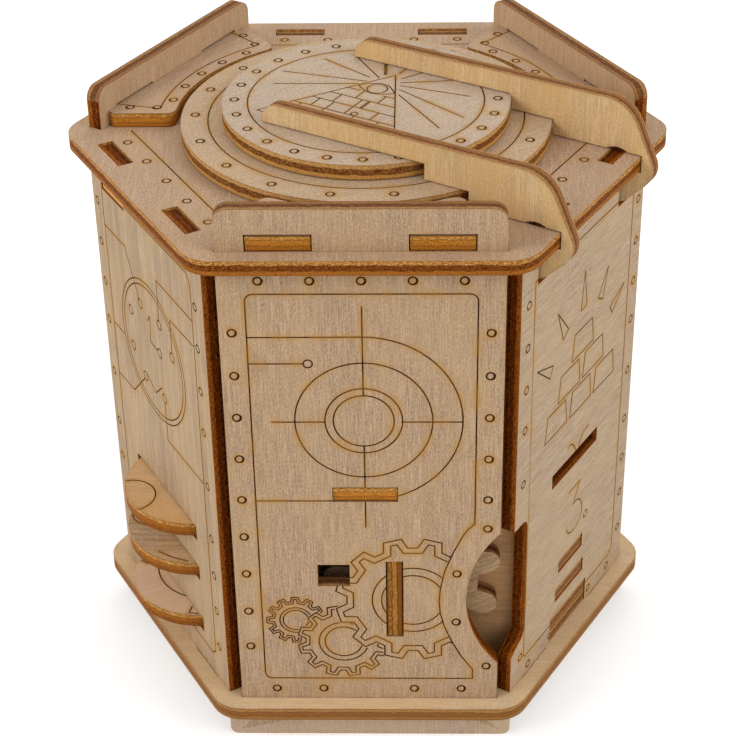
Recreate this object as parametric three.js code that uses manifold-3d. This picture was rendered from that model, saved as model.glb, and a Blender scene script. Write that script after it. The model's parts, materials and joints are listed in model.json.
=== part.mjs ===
import * as THREE from "three";
import { mergeVertices } from "three/addons/utils/BufferGeometryUtils.js";
import Module from "manifold-3d";

const wasm = await Module();
wasm.setup();

// A hexagonal puzzle box of laser-cut plywood, in millimetres, +Z up.
// The origin is under the centre of the box, on the surface that its feet stand on.
// The front wall faces -Y. Sides are numbered anticlockwise from the front, 0 to 5.
// On each side, "out" is the distance from the centre along the side's normal and
// "along" runs anticlockwise across the side.

// Stock and fits
const BOARD = 4;
const SLOT_PLAY = 0.3;
const SEAT_GAP = 0.1;
const RUN_GAP = 0.3;
const SHAFT_PLAY = 0.1;
const FACET_ERROR = 0.03;
const SIDES = 6;
const SIDE_ANGLE = (2 * Math.PI) / SIDES;

// Carcass
const PLATE_APOTHEM = 70;
const PLATE_CORNER_RADIUS = 9;
const PLATE_OVERHANG = 4.7;
const INNER_HEIGHT = 138.2;
const CORNER_GAP = 0.2;

// Rails above the lid and feet below the base
const RAIL_RISE = 11.4;
const RAIL_CORNER_RADIUS = 3.5;
const FOOT_DROP = 9.5;
const FOOT_STEP = 3.8;
const FOOT_CORNER_RADIUS = 2.5;
const RAIL_WINDOW_INSET = 7.3;
const RAIL_WINDOW_WIDTH = 16.3;

// Tabs of the three walls that carry the lid
const TAB_INSET = 7.5;
const TAB_WIDTH = 13.9;
const TAB_SINK = 0.6;
const ARM_TAB_COVER = 0.4;

// Lid discs
const DISC_STEP = 11;
const DISC_LIFT = 0.4;
const DISC_SPINDLE_RADIUS = 5;
const SPINDLE_COLLAR_RADIUS = 12;

// Arc keys that lock the lid to the rails
const KEY_WIDTH = 10.3;
const KEY_RING_GAP = 2;
const KEY_END_GAP = 1.6;
const KEY_CORNER_RADIUS = 2.5;
const KEY_END_CHAMFER = 2;

// Hooked arms
const ARM_EDGE_INSET = 10.2;
const ARM_TIP_OUT = -16.3;
const ARM_TIP_RADIUS = 4.5;
const ARM_RISE = 14.3;
const ARM_SHOULDER_INSET = 4.4;
const ARM_SHOULDER_RADIUS = 10;
const ARM_ELBOW_OVERHANG = 4.6;
const ARM_ELBOW_DROP = 5.2;
const ARM_ELBOW_RADIUS = 6;
const ARM_HOOK_INSET = 4.5;
const ARM_HOOK_DROP = 14.4;
const ARM_HOOK_RADIUS = 4;
const ARM_TRAVEL = 14;
const ARM_STEP_GAP = 0.4;
const ARM_NOTCH_HALF_WIDTH = 3;
const ARM_NOTCH_RISE = 0.9;
const ARM_SLOT_LOWER_PLAY = 0.8;
const ARM_SLOT_SIDE_PLAY = 1.6;
const ARM_TAIL_HALF_HEIGHT = 3;
const TIE_MARGIN = 6;
const TIE_HEIGHT = 18;

// Finger dials in the left front wall
const DIAL_RADIUS = 20.2;
const DIAL_AXIS_DEPTH = 5.5;
const DIAL_HEIGHTS = [45.2, 31.4, 13];
const DIAL_SLOT_PLAY = 0.5;
const DIAL_SPINDLE_RADIUS = 2;
const DIAL_NOTCH_DEPTH = 1.6;
const DIAL_NOTCH_HALF_ANGLE = 0.06;
const SPACER_RADIUS = 8;

// Thumb wheel behind the front wall
const WHEEL_EDGE_DISTANCE = 23;
const WHEEL_HEIGHT = 35;
const WHEEL_RADIUS = 24.4;
const WHEEL_ROOT_RADIUS = 17.6;
const WHEEL_LOBES = 9;
const WHEEL_LOBE_HALF_WIDTH = 3.6;
const WHEEL_FIRST_LOBE = 0.302;
const HUB_RADIUS = 12;
const COLLAR_RADIUS = 14.1;
const BACK_BOARD_LEFT = -22;
const BACK_BOARD_OVERHANG = 4.5;
const BACK_BOARD_TAB_HALF_WIDTH = 8;

// Openings in the front wall
const CUTOUT_HALF_HEIGHT = 22.3;
const CUTOUT_DEPTH = 8.8;
const SHELF_HEIGHT = 69.9;
const SHELF_TAB_HALF_WIDTH = 8.3;
const WINDOW_X = -8.8;
const WINDOW_HEIGHT = 43.2;
const WINDOW_HALF_WIDTH = 4.25;
const WINDOW_HALF_HEIGHT = 3.6;
const BRIDGE_OFFSET = 4.85;
const BRIDGE_HEAD_HALF_HEIGHT = 12.6;
const BRIDGE_TAIL_HALF_HEIGHT = 7;
const BRIDGE_TAIL = 3;

// Openings in the right front wall, and the rack behind them
const TOKEN_SLOT_HEIGHT = 58.2;
const TOKEN_SLOT_HALF_WIDTH = 13.7;
const TOKEN_SLOT_HALF_HEIGHT = 2.3;
const RACK_SHELF_HEIGHTS = [25.1, 15.5];
const RACK_TAB_HALF_WIDTHS = [7.2, 8.5];
const RACK_BLOCK_TAB_HALF_WIDTH = 11;
const RACK_HALF_WIDTH = 15;
const RACK_DEPTH = 32;
const RACK_BACK_HALF_WIDTH = 19;
const RACK_INNER_TAB_HALF_WIDTH = 6;
const RECESS_LOW = 12.2;
const RECESS_HIGH = 55.9;
const RECESS_DEPTH = 7.5;
const RECESS_CORNER_RADIUS = 3;

// Board across the left corner, under the lid
const CORNER_SHELF_DROP = 8.8;
const CORNER_SHELF_MARGIN = 8.6;

// Levels and distances that follow from the sizes above
const BASE_UNDERSIDE = FOOT_DROP;
const FLOOR = BASE_UNDERSIDE + BOARD;
const LID_UNDERSIDE = FLOOR + INNER_HEIGHT;
const LID_TOP = LID_UNDERSIDE + BOARD;
const LOWER_DISC_UNDERSIDE = LID_TOP + DISC_LIFT;
const LOWER_DISC_TOP = LOWER_DISC_UNDERSIDE + BOARD;
const UPPER_DISC_UNDERSIDE = LOWER_DISC_TOP + DISC_LIFT;
const UPPER_DISC_TOP = UPPER_DISC_UNDERSIDE + BOARD;
const WALL_OUTSIDE = PLATE_APOTHEM - PLATE_OVERHANG;
const WALL_INSIDE = WALL_OUTSIDE - BOARD;
const WALL_HALF_WIDTH = WALL_INSIDE * Math.tan(SIDE_ANGLE / 2) - CORNER_GAP;
const FOOT_HALF_WIDTH = WALL_HALF_WIDTH + FOOT_STEP;
const RAIL_WINDOW_FAR = WALL_HALF_WIDTH - RAIL_WINDOW_INSET;
const RAIL_WINDOW_NEAR = RAIL_WINDOW_FAR - RAIL_WINDOW_WIDTH;
const TAB_FAR = WALL_HALF_WIDTH - TAB_INSET;
const TAB_NEAR = TAB_FAR - TAB_WIDTH;
const LOWER_DISC_RADIUS = WALL_INSIDE - KEY_WIDTH - KEY_RING_GAP;
const UPPER_DISC_RADIUS = LOWER_DISC_RADIUS - DISC_STEP;
const DIAL_AXIS_OUT = WALL_INSIDE - DIAL_AXIS_DEPTH;
const DIAL_SLOT_HALF_WIDTH = Math.sqrt(DIAL_RADIUS ** 2 - DIAL_AXIS_DEPTH ** 2) + DIAL_SLOT_PLAY;
const WHEEL_X = WALL_HALF_WIDTH - WHEEL_EDGE_DISTANCE;
const BRIDGE_X = WHEEL_X - BRIDGE_OFFSET;
const BACK_BOARD_RIGHT = WALL_HALF_WIDTH + BACK_BOARD_OVERHANG;
const RACK_BACK_OUT = WALL_INSIDE - RACK_DEPTH;
const TAB_END = WALL_OUTSIDE - SLOT_PLAY;
const SHELF_UNDERSIDE = FLOOR + SHELF_HEIGHT - BOARD / 2;
const SHELF_TOP = SHELF_UNDERSIDE + BOARD;
const BACK_BOARD_OUT = WALL_INSIDE - 3 * BOARD - 2 * RUN_GAP;
const CORNER_SHELF_UNDERSIDE = LID_UNDERSIDE - CORNER_SHELF_DROP;
const RACK_SHELF_END = RACK_BACK_OUT + BOARD + SEAT_GAP;
const RACK_FRONT = WALL_INSIDE - SEAT_GAP;
const BLOCK_UNDERSIDES = [FLOOR + BOARD + 2 * SEAT_GAP, FLOOR + SEAT_GAP];
const BLOCKS_TOP = BLOCK_UNDERSIDES[0] + BOARD;
const ARM_OUTER_FACE = WALL_HALF_WIDTH - ARM_EDGE_INSET;
const FRONT_ARM_TAB_FAR = ARM_OUTER_FACE - ARM_TAB_COVER;
const ARM_INNER_FACE = ARM_OUTER_FACE - BOARD;
const TIE_HALF_WIDTH = ARM_OUTER_FACE + TIE_MARGIN;
const JAW_TOP = LID_UNDERSIDE - 2 * RUN_GAP;
const JAW_LOW = LID_TOP - ARM_HOOK_DROP;
const TIE_OUTSIDE = WALL_INSIDE - ARM_TRAVEL;
const TIE_INSIDE = TIE_OUTSIDE - BOARD;
const ALL_SIDES = Array.from({ length: SIDES }, (_, i) => i);
const [FRONT, RIGHT_FRONT, RIGHT_REAR, REAR, LEFT_REAR, LEFT_FRONT] = ALL_SIDES;
const RAIL_SIDES = [FRONT, RIGHT_REAR, LEFT_REAR];
const TAB_SIDES = [RIGHT_FRONT, REAR, LEFT_FRONT];

const veneer = () => new THREE.MeshStandardMaterial({ color: 0xcdb597, roughness: 0.72, metalness: 0 });
const armVeneer = () => new THREE.MeshStandardMaterial({ color: 0xd6b98a, roughness: 0.7, metalness: 0 });
const innerVeneer = () => new THREE.MeshStandardMaterial({ color: 0xbfa485, roughness: 0.75, metalness: 0 });
const dowelWood = () => new THREE.MeshStandardMaterial({ color: 0xc9a877, roughness: 0.6, metalness: 0 });

const point = (x, y) => new THREE.Vector2(x, y);

// Points of an arc, with as many steps as its radius needs.
function arc(centre, radius, from, to) {
  const step = 2 * Math.acos(1 - FACET_ERROR / radius);
  const count = Math.max(2, Math.ceil(Math.abs(to - from) / step));
  return Array.from({ length: count + 1 }, (_, i) => {
    const angle = from + ((to - from) * i) / count;
    return point(centre.x + radius * Math.cos(angle), centre.y + radius * Math.sin(angle));
  });
}

function circle(radius, centre = point(0, 0)) {
  return arc(centre, radius, 0, 2 * Math.PI).slice(0, -1);
}

function rectangle(left, right, low, high) {
  return [point(left, low), point(right, low), point(right, high), point(left, high)];
}

// Rounds the corners of an outline. Each corner is [x, y, radius].
function rounded(corners) {
  return corners.flatMap(([x, y, radius = 0], i) => {
    const corner = point(x, y);
    if (radius === 0) return [corner];
    const last = corners[(i + corners.length - 1) % corners.length];
    const next = corners[(i + 1) % corners.length];
    const before = point(last[0], last[1]).sub(corner).normalize();
    const after = point(next[0], next[1]).sub(corner).normalize();
    const half = Math.acos(THREE.MathUtils.clamp(before.dot(after), -1, 1)) / 2;
    const centre = before.clone().add(after).normalize().multiplyScalar(radius / Math.sin(half)).add(corner);
    const start = before.clone().multiplyScalar(radius / Math.tan(half)).add(corner).sub(centre);
    const end = after.clone().multiplyScalar(radius / Math.tan(half)).add(corner).sub(centre);
    const from = start.angle();
    const sweep = Math.atan2(start.cross(end), start.dot(end));
    return arc(centre, radius, from, from + sweep);
  });
}

function mirrored(outline) {
  return outline.map((p) => point(-p.x, p.y)).reverse();
}

function prism(outline, thickness, start = 0) {
  const options = { depth: thickness, bevelEnabled: false };
  const geometry = new THREE.ExtrudeGeometry(new THREE.Shape(outline), options);
  geometry.translate(0, 0, start);
  geometry.deleteAttribute("normal");
  geometry.deleteAttribute("uv");
  const merged = mergeVertices(geometry);
  return new wasm.Manifold(
    new wasm.Mesh({
      numProp: 3,
      vertProperties: merged.attributes.position.array,
      triVerts: new Uint32Array(merged.index.array),
    }),
  );
}

// A flat board: its outlines joined into one, with the holes cut through it.
function board(name, outlines, holes, material, thickness = BOARD) {
  const sheets = outlines.map((outline) => prism(outline, thickness));
  const cutters = holes.map((hole) => prism(hole, 3 * thickness, -thickness));
  const joined = sheets.slice(1).reduce((body, sheet) => body.add(sheet), sheets[0]);
  const cut = cutters.reduce((body, cutter) => body.subtract(cutter), joined);
  const { vertProperties, triVerts } = cut.getMesh();
  const geometry = new THREE.BufferGeometry();
  geometry.setAttribute("position", new THREE.BufferAttribute(vertProperties, 3));
  geometry.setIndex(new THREE.BufferAttribute(triVerts, 1));
  const mesh = new THREE.Mesh(geometry, material);
  mesh.name = name;
  return mesh;
}

// A flat board whose outline is drawn in plan, x to the right and y to the rear.
function lying(mesh, underside) {
  mesh.position.z = underside;
  return mesh;
}

// A board parallel to its side's wall, drawn as seen from outside: along, then up.
function standing(mesh, innerFace, along = 0, up = 0) {
  mesh.rotation.x = Math.PI / 2;
  mesh.position.set(along, -innerFace, up);
  return mesh;
}

// A board square to its side's wall, drawn in out and up, its face with the larger
// along at the value given.
function edgeOn(mesh, along) {
  mesh.rotation.set(Math.PI / 2, 0, -Math.PI / 2, "ZYX");
  mesh.position.x = along;
  return mesh;
}

function onSide(side, ...meshes) {
  const group = new THREE.Group();
  group.rotation.z = side * SIDE_ANGLE;
  group.add(...meshes);
  return group;
}

// Turns points drawn on the front side, out along -Y, to another side.
function turned(points, side) {
  return points.map((p) => p.clone().rotateAround(point(0, 0), side * SIDE_ANGLE));
}

function hexagon(apothem, radius) {
  const reach = apothem / Math.cos(SIDE_ANGLE / 2);
  return rounded(
    ALL_SIDES.map((side) => [
      reach * Math.cos(side * SIDE_ANGLE),
      reach * Math.sin(side * SIDE_ANGLE),
      radius,
    ]),
  );
}

// Slots of the lid and the base: one long one for each railed wall and two short ones for each
// tabbed wall. The right front wall's left one may lie elsewhere, as it does in the lid.
function wallSlots(frontArmTabFar = TAB_FAR) {
  const outer = -(WALL_OUTSIDE + SLOT_PLAY / 2);
  const inner = -(WALL_INSIDE - SLOT_PLAY / 2);
  const long = rectangle(-WALL_HALF_WIDTH - SLOT_PLAY / 2, WALL_HALF_WIDTH + SLOT_PLAY / 2, outer, inner);
  const short = (far) => rectangle(far - TAB_WIDTH - SLOT_PLAY / 2, far + SLOT_PLAY / 2, outer, inner);
  const left = (side) => mirrored(short(side === RIGHT_FRONT ? frontArmTabFar : TAB_FAR));
  return [
    ...RAIL_SIDES.map((side) => turned(long, side)),
    ...TAB_SIDES.flatMap((side) => [turned(short(TAB_FAR), side), turned(left(side), side)]),
  ];
}

function basePlate() {
  const bore = circle(DIAL_SPINDLE_RADIUS + SLOT_PLAY / 2, point(0, -DIAL_AXIS_OUT));
  const backBoardSlot = tabSlot(BACK_BOARD_OUT);
  return lying(
    board(
      "base_plate",
      [hexagon(PLATE_APOTHEM, PLATE_CORNER_RADIUS)],
      [...wallSlots(), turned(bore, LEFT_FRONT), backBoardSlot],
      veneer(),
    ),
    BASE_UNDERSIDE,
  );
}

// Slot in a lying board for a tab of the wheel's back board.
function tabSlot(innerFace) {
  return rectangle(
    WHEEL_X - BACK_BOARD_TAB_HALF_WIDTH - SLOT_PLAY / 2,
    WHEEL_X + BACK_BOARD_TAB_HALF_WIDTH + SLOT_PLAY / 2,
    -(innerFace + BOARD + SLOT_PLAY / 2),
    -(innerFace - SLOT_PLAY / 2),
  );
}

function rackBackSlot() {
  return rectangle(
    -RACK_INNER_TAB_HALF_WIDTH - SLOT_PLAY / 2,
    RACK_INNER_TAB_HALF_WIDTH + SLOT_PLAY / 2,
    -(RACK_BACK_OUT + BOARD + SLOT_PLAY / 2),
    -(RACK_BACK_OUT - SLOT_PLAY / 2),
  );
}

function lidPlate() {
  return lying(
    board(
      "lid_plate",
      [hexagon(PLATE_APOTHEM, PLATE_CORNER_RADIUS)],
      [...wallSlots(FRONT_ARM_TAB_FAR), circle(DISC_SPINDLE_RADIUS + SHAFT_PLAY)],
      veneer(),
    ),
    LID_UNDERSIDE,
  );
}

function footOutline() {
  const top = FOOT_DROP - SEAT_GAP;
  return rounded([
    [-FOOT_HALF_WIDTH, 0, FOOT_CORNER_RADIUS],
    [FOOT_HALF_WIDTH, 0, FOOT_CORNER_RADIUS],
    [FOOT_HALF_WIDTH, top],
    [-FOOT_HALF_WIDTH, top],
  ]);
}

function railedOutline() {
  const top = LID_TOP + RAIL_RISE;
  return rounded([
    [-WALL_HALF_WIDTH, FOOT_DROP / 2],
    [WALL_HALF_WIDTH, FOOT_DROP / 2],
    [WALL_HALF_WIDTH, top, RAIL_CORNER_RADIUS],
    [-WALL_HALF_WIDTH, top, RAIL_CORNER_RADIUS],
  ]);
}

function railWindows() {
  const high = LID_TOP + BOARD + 2 * SLOT_PLAY;
  const window = rectangle(RAIL_WINDOW_NEAR, RAIL_WINDOW_FAR, LID_TOP - SEAT_GAP, high);
  return [window, mirrored(window)];
}

function shelfTabSlot() {
  return rectangle(
    -SHELF_TAB_HALF_WIDTH - SLOT_PLAY / 2,
    SHELF_TAB_HALF_WIDTH + SLOT_PLAY / 2,
    SHELF_UNDERSIDE - SLOT_PLAY,
    SHELF_TOP + SLOT_PLAY,
  );
}

function railedWall(name, side, holes) {
  const outlines = [railedOutline(), footOutline()];
  return onSide(
    side,
    standing(board(name, outlines, [...railWindows(), shelfTabSlot(), ...holes], veneer()), WALL_INSIDE),
  );
}

// The crescent in the front wall's right edge, through which the thumb wheel is turned.
function fingerCutout() {
  const radius = (CUTOUT_HALF_HEIGHT ** 2 + CUTOUT_DEPTH ** 2) / (2 * CUTOUT_DEPTH);
  return circle(radius, point(WALL_HALF_WIDTH - CUTOUT_DEPTH + radius, FLOOR + WHEEL_HEIGHT));
}

function frontWall() {
  const window = rectangle(
    WINDOW_X - WINDOW_HALF_WIDTH,
    WINDOW_X + WINDOW_HALF_WIDTH,
    FLOOR + WINDOW_HEIGHT - WINDOW_HALF_HEIGHT,
    FLOOR + WINDOW_HEIGHT + WINDOW_HALF_HEIGHT,
  );
  return railedWall("front_wall", FRONT, [fingerCutout(), window, bridgeSlot(BRIDGE_HEAD_HALF_HEIGHT)]);
}

function bridgeSlot(halfHeight) {
  return rectangle(
    BRIDGE_X - BOARD / 2 - SLOT_PLAY,
    BRIDGE_X + BOARD / 2 + SLOT_PLAY,
    FLOOR + WHEEL_HEIGHT - halfHeight - SLOT_PLAY,
    FLOOR + WHEEL_HEIGHT + halfHeight + SLOT_PLAY,
  );
}

// A wall between base and lid, held by two tabs below and two above.
function tabbedWall(name, side, holes, leftTabFar = TAB_FAR) {
  const low = FLOOR + SEAT_GAP;
  const high = LID_UNDERSIDE - SEAT_GAP;
  const lowTab = rectangle(TAB_NEAR, TAB_FAR, BASE_UNDERSIDE + SEAT_GAP, low + BOARD);
  const highTab = (far) => rectangle(far - TAB_WIDTH, far, high - BOARD, LID_TOP - TAB_SINK);
  const outlines = [
    rectangle(-WALL_HALF_WIDTH, WALL_HALF_WIDTH, low, high),
    lowTab,
    mirrored(lowTab),
    highTab(TAB_FAR),
    mirrored(highTab(leftTabFar)),
  ];
  return onSide(side, standing(board(name, outlines, holes, veneer()), WALL_INSIDE));
}

// Finger recess in the right front wall's left edge.
function fingerRecess() {
  const inner = -WALL_HALF_WIDTH + RECESS_DEPTH;
  const outer = -WALL_HALF_WIDTH - RECESS_DEPTH;
  return rounded([
    [outer, FLOOR + RECESS_LOW - RECESS_DEPTH / 2],
    [inner, FLOOR + RECESS_LOW + RECESS_DEPTH / 2, RECESS_CORNER_RADIUS],
    [inner, FLOOR + RECESS_HIGH, RECESS_CORNER_RADIUS],
    [outer, FLOOR + RECESS_HIGH],
  ]);
}

// Slots for the two arms, wider on the side towards the front. The front arm's is open at the
// top beside the tab.
function armSlots() {
  const low = JAW_LOW - ARM_SLOT_LOWER_PLAY;
  const slots = [-ARM_OUTER_FACE, ARM_INNER_FACE].map((left) =>
    rectangle(left - ARM_SLOT_SIDE_PLAY, left + BOARD + SLOT_PLAY, low, LID_UNDERSIDE - RUN_GAP),
  );
  const openPart = rectangle(-ARM_OUTER_FACE - ARM_SLOT_SIDE_PLAY, -FRONT_ARM_TAB_FAR, low, LID_UNDERSIDE);
  return [...slots, openPart];
}

function rightFrontWall() {
  const token = rectangle(
    -TOKEN_SLOT_HALF_WIDTH,
    TOKEN_SLOT_HALF_WIDTH,
    FLOOR + TOKEN_SLOT_HEIGHT - TOKEN_SLOT_HALF_HEIGHT,
    FLOOR + TOKEN_SLOT_HEIGHT + TOKEN_SLOT_HALF_HEIGHT,
  );
  const shelves = RACK_SHELF_HEIGHTS.map((height, i) =>
    rectangle(
      -RACK_TAB_HALF_WIDTHS[i] - SLOT_PLAY,
      RACK_TAB_HALF_WIDTHS[i] + SLOT_PLAY,
      FLOOR + height - BOARD / 2 - SLOT_PLAY,
      FLOOR + height + BOARD / 2 + SLOT_PLAY,
    ),
  );
  const blocks = rectangle(
    -RACK_BLOCK_TAB_HALF_WIDTH - SLOT_PLAY,
    RACK_BLOCK_TAB_HALF_WIDTH + SLOT_PLAY,
    FLOOR - BOARD,
    BLOCKS_TOP + SLOT_PLAY,
  );
  const holes = [fingerRecess(), token, ...shelves, blocks, ...armSlots()];
  return tabbedWall("right_front_wall", RIGHT_FRONT, holes, FRONT_ARM_TAB_FAR);
}

function leftFrontWall() {
  const slots = DIAL_HEIGHTS.map((height) =>
    rectangle(
      -DIAL_SLOT_HALF_WIDTH,
      DIAL_SLOT_HALF_WIDTH,
      FLOOR + height - BOARD / 2 - DIAL_SLOT_PLAY,
      FLOOR + height + BOARD / 2 + DIAL_SLOT_PLAY,
    ),
  );
  return tabbedWall("left_front_wall", LEFT_FRONT, [...slots, cornerShelfSlot()]);
}

// Slot in the left front wall for the corner shelf's tab.
function cornerShelfSlot() {
  return rectangle(
    -TAB_FAR - SLOT_PLAY,
    -TAB_NEAR + SLOT_PLAY,
    CORNER_SHELF_UNDERSIDE - SLOT_PLAY,
    CORNER_SHELF_UNDERSIDE + BOARD + SLOT_PLAY,
  );
}

// A board across the left corner, with a tab in each of the two walls that meet there.
function cornerShelf() {
  const inner = WALL_INSIDE - SEAT_GAP;
  const corner = -inner * Math.tan(SIDE_ANGLE / 2);
  const reach = CORNER_SHELF_MARGIN - TAB_NEAR - corner;
  const outline = [
    point(corner, -inner),
    point(corner + reach, -inner),
    point(corner + reach * Math.cos(2 * SIDE_ANGLE), reach * Math.sin(2 * SIDE_ANGLE) - inner),
  ];
  const tab = rectangle(-TAB_FAR, -TAB_NEAR, -TAB_END, -inner + BOARD);
  const outlines = [turned(outline, LEFT_FRONT), turned(tab, LEFT_FRONT), turned(mirrored(tab), LEFT_REAR)];
  return lying(board("corner_shelf", outlines, [], innerVeneer()), CORNER_SHELF_UNDERSIDE);
}

// A curved board on the lid behind one rail. Its inner edge follows the lower disc, its
// ends run beside the lines from the centre to the corners, and two tabs fill the rail's
// windows. Drawn on the front side.
function arcKey(name, side) {
  const ring = LOWER_DISC_RADIUS + KEY_RING_GAP;
  const outer = WALL_INSIDE - SEAT_GAP;
  const end = SIDE_ANGLE / 2;
  const endAlong = (out) => out * Math.tan(end) - KEY_END_GAP / Math.cos(end);
  const reach = ring + KEY_CORNER_RADIUS;
  const turn = end - Math.asin((KEY_END_GAP + KEY_CORNER_RADIUS) / reach);
  const centre = point(reach * Math.sin(turn), -reach * Math.cos(turn));
  const right = [
    ...arc(centre, KEY_CORNER_RADIUS, Math.PI / 2 + turn, end).slice(1),
    point(endAlong(outer - KEY_END_CHAMFER), -(outer - KEY_END_CHAMFER)),
    point(endAlong(outer) - KEY_END_CHAMFER, -outer),
  ];
  const inner = arc(point(0, 0), ring, -Math.PI / 2, -Math.PI / 2 + turn);
  const tabNear = RAIL_WINDOW_NEAR + SLOT_PLAY;
  const tab = rectangle(tabNear, RAIL_WINDOW_FAR - SLOT_PLAY, -TAB_END, -outer + BOARD / 2);
  const body = [...inner, ...right, ...mirrored(right), ...mirrored(inner).slice(0, -1)];
  return onSide(side, lying(board(name, [body, tab, mirrored(tab)], [], veneer()), LID_TOP + SEAT_GAP / 2));
}

function discs() {
  const lower = lying(
    board("disc_lower", [circle(LOWER_DISC_RADIUS)], [circle(DISC_SPINDLE_RADIUS + SHAFT_PLAY)], veneer()),
    LOWER_DISC_UNDERSIDE,
  );
  const upper = lying(board("disc_upper", [circle(UPPER_DISC_RADIUS)], [], veneer()), UPPER_DISC_UNDERSIDE);
  const collarTop = LID_UNDERSIDE - RUN_GAP;
  const spindleLength = UPPER_DISC_UNDERSIDE - (collarTop - BOARD);
  const spindle = lying(
    board("disc_spindle", [circle(DISC_SPINDLE_RADIUS)], [], dowelWood(), spindleLength),
    collarTop - BOARD,
  );
  const collar = lying(
    board(
      "spindle_collar",
      [circle(SPINDLE_COLLAR_RADIUS)],
      [circle(DISC_SPINDLE_RADIUS + SLOT_PLAY / 2)],
      innerVeneer(),
    ),
    collarTop - BOARD,
  );
  return [lower, upper, spindle, collar];
}

// One hooked arm in out and up: over both discs, round the lid's edge and back below it
// through the right front wall.
function armOutline() {
  const discEdge = (radius) => Math.sqrt(radius ** 2 - ARM_INNER_FACE ** 2) + ARM_STEP_GAP;
  const throat = PLATE_APOTHEM + RUN_GAP;
  const jawEnd = TIE_OUTSIDE + SEAT_GAP;
  const lowEdge = LID_TOP + RUN_GAP;
  return rounded([
    [ARM_TIP_OUT, UPPER_DISC_TOP + RUN_GAP],
    [discEdge(UPPER_DISC_RADIUS), UPPER_DISC_TOP + RUN_GAP],
    [discEdge(UPPER_DISC_RADIUS), LOWER_DISC_TOP + RUN_GAP],
    [discEdge(LOWER_DISC_RADIUS), LOWER_DISC_TOP + RUN_GAP],
    [discEdge(LOWER_DISC_RADIUS), lowEdge],
    [throat, lowEdge],
    [throat, JAW_TOP],
    [jawEnd, JAW_TOP],
    [jawEnd, JAW_LOW],
    [PLATE_APOTHEM - ARM_HOOK_INSET, JAW_LOW, ARM_HOOK_RADIUS],
    [PLATE_APOTHEM + ARM_ELBOW_OVERHANG, LID_TOP - ARM_ELBOW_DROP, ARM_ELBOW_RADIUS],
    [PLATE_APOTHEM - ARM_SHOULDER_INSET, LID_TOP + ARM_RISE, ARM_SHOULDER_RADIUS],
    [ARM_TIP_OUT, LID_TOP + ARM_RISE, ARM_TIP_RADIUS],
  ]);
}

// The shallow arch in an arm's lower edge, above the wall.
function armNotch() {
  const lowEdge = LID_TOP + RUN_GAP;
  const radius = (ARM_NOTCH_HALF_WIDTH ** 2 + ARM_NOTCH_RISE ** 2) / (2 * ARM_NOTCH_RISE);
  const half = Math.asin(ARM_NOTCH_HALF_WIDTH / radius);
  const centre = point((WALL_INSIDE + WALL_OUTSIDE) / 2, lowEdge + ARM_NOTCH_RISE - radius);
  return arc(centre, radius, Math.PI / 2 - 1.5 * half, Math.PI / 2 + 1.5 * half);
}

// The two arms and, inside the box, the board that ties them and stops them at the wall.
function arms() {
  const middle = (JAW_TOP + JAW_LOW) / 2;
  const tail = rectangle(
    TIE_INSIDE - SLOT_PLAY,
    TIE_OUTSIDE + BOARD,
    middle - ARM_TAIL_HALF_HEIGHT,
    middle + ARM_TAIL_HALF_HEIGHT,
  );
  const armBoard = (name) => board(name, [armOutline(), tail], [armNotch()], armVeneer());
  const tailSlot = rectangle(
    ARM_INNER_FACE - SLOT_PLAY / 2,
    ARM_OUTER_FACE + SLOT_PLAY / 2,
    middle - ARM_TAIL_HALF_HEIGHT - SLOT_PLAY / 2,
    middle + ARM_TAIL_HALF_HEIGHT + SLOT_PLAY / 2,
  );
  const tieOutline = rectangle(-TIE_HALF_WIDTH, TIE_HALF_WIDTH, JAW_TOP - TIE_HEIGHT, JAW_TOP);
  const tie = board("arm_tie", [tieOutline], [tailSlot, mirrored(tailSlot)], innerVeneer());
  return onSide(
    RIGHT_FRONT,
    edgeOn(armBoard("arm_front"), -ARM_INNER_FACE),
    edgeOn(armBoard("arm_rear"), ARM_OUTER_FACE),
    standing(tie, TIE_INSIDE),
  );
}

function dialOutline() {
  const half = DIAL_NOTCH_HALF_ANGLE;
  const rim = arc(point(0, 0), DIAL_RADIUS, half, 2 * Math.PI - half);
  return [...rim, point(DIAL_RADIUS - DIAL_NOTCH_DEPTH, 0)];
}

// A spacer is round, with a flat that lies against the wall.
function spacerOutline() {
  const flat = WALL_INSIDE - DIAL_AXIS_OUT - SEAT_GAP;
  const half = Math.acos(flat / SPACER_RADIUS);
  return arc(point(0, 0), SPACER_RADIUS, -Math.PI / 2 + half, (3 * Math.PI) / 2 - half);
}

function dialStack() {
  const names = ["dial_top", "dial_middle", "dial_bottom"];
  const bore = circle(DIAL_SPINDLE_RADIUS + SHAFT_PLAY);
  const dials = DIAL_HEIGHTS.map((height, i) => {
    const dial = lying(board(names[i], [dialOutline()], [bore], veneer()), FLOOR + height - BOARD / 2);
    dial.position.y = -DIAL_AXIS_OUT;
    return dial;
  });
  const spindle = lying(
    board("dial_spindle", [circle(DIAL_SPINDLE_RADIUS)], [], dowelWood(), SHELF_TOP - BASE_UNDERSIDE),
    BASE_UNDERSIDE,
  );
  spindle.position.y = -DIAL_AXIS_OUT;
  const clearance = BOARD / 2 + RUN_GAP;
  const floors = [...DIAL_HEIGHTS.map((height) => FLOOR + height + clearance), FLOOR + SEAT_GAP];
  const undersides = DIAL_HEIGHTS.map((height) => FLOOR + height - clearance);
  const ceilings = [SHELF_UNDERSIDE - SEAT_GAP, ...undersides];
  const spacers = floors.map((low, i) => {
    const spacer = lying(
      board(
        `dial_spacer_${i + 1}`,
        [spacerOutline()],
        [circle(DIAL_SPINDLE_RADIUS + SLOT_PLAY / 2)],
        innerVeneer(),
        ceilings[i] - low,
      ),
      low,
    );
    spacer.position.y = -DIAL_AXIS_OUT;
    return spacer;
  });
  return onSide(LEFT_FRONT, ...dials, spindle, ...spacers);
}

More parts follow.
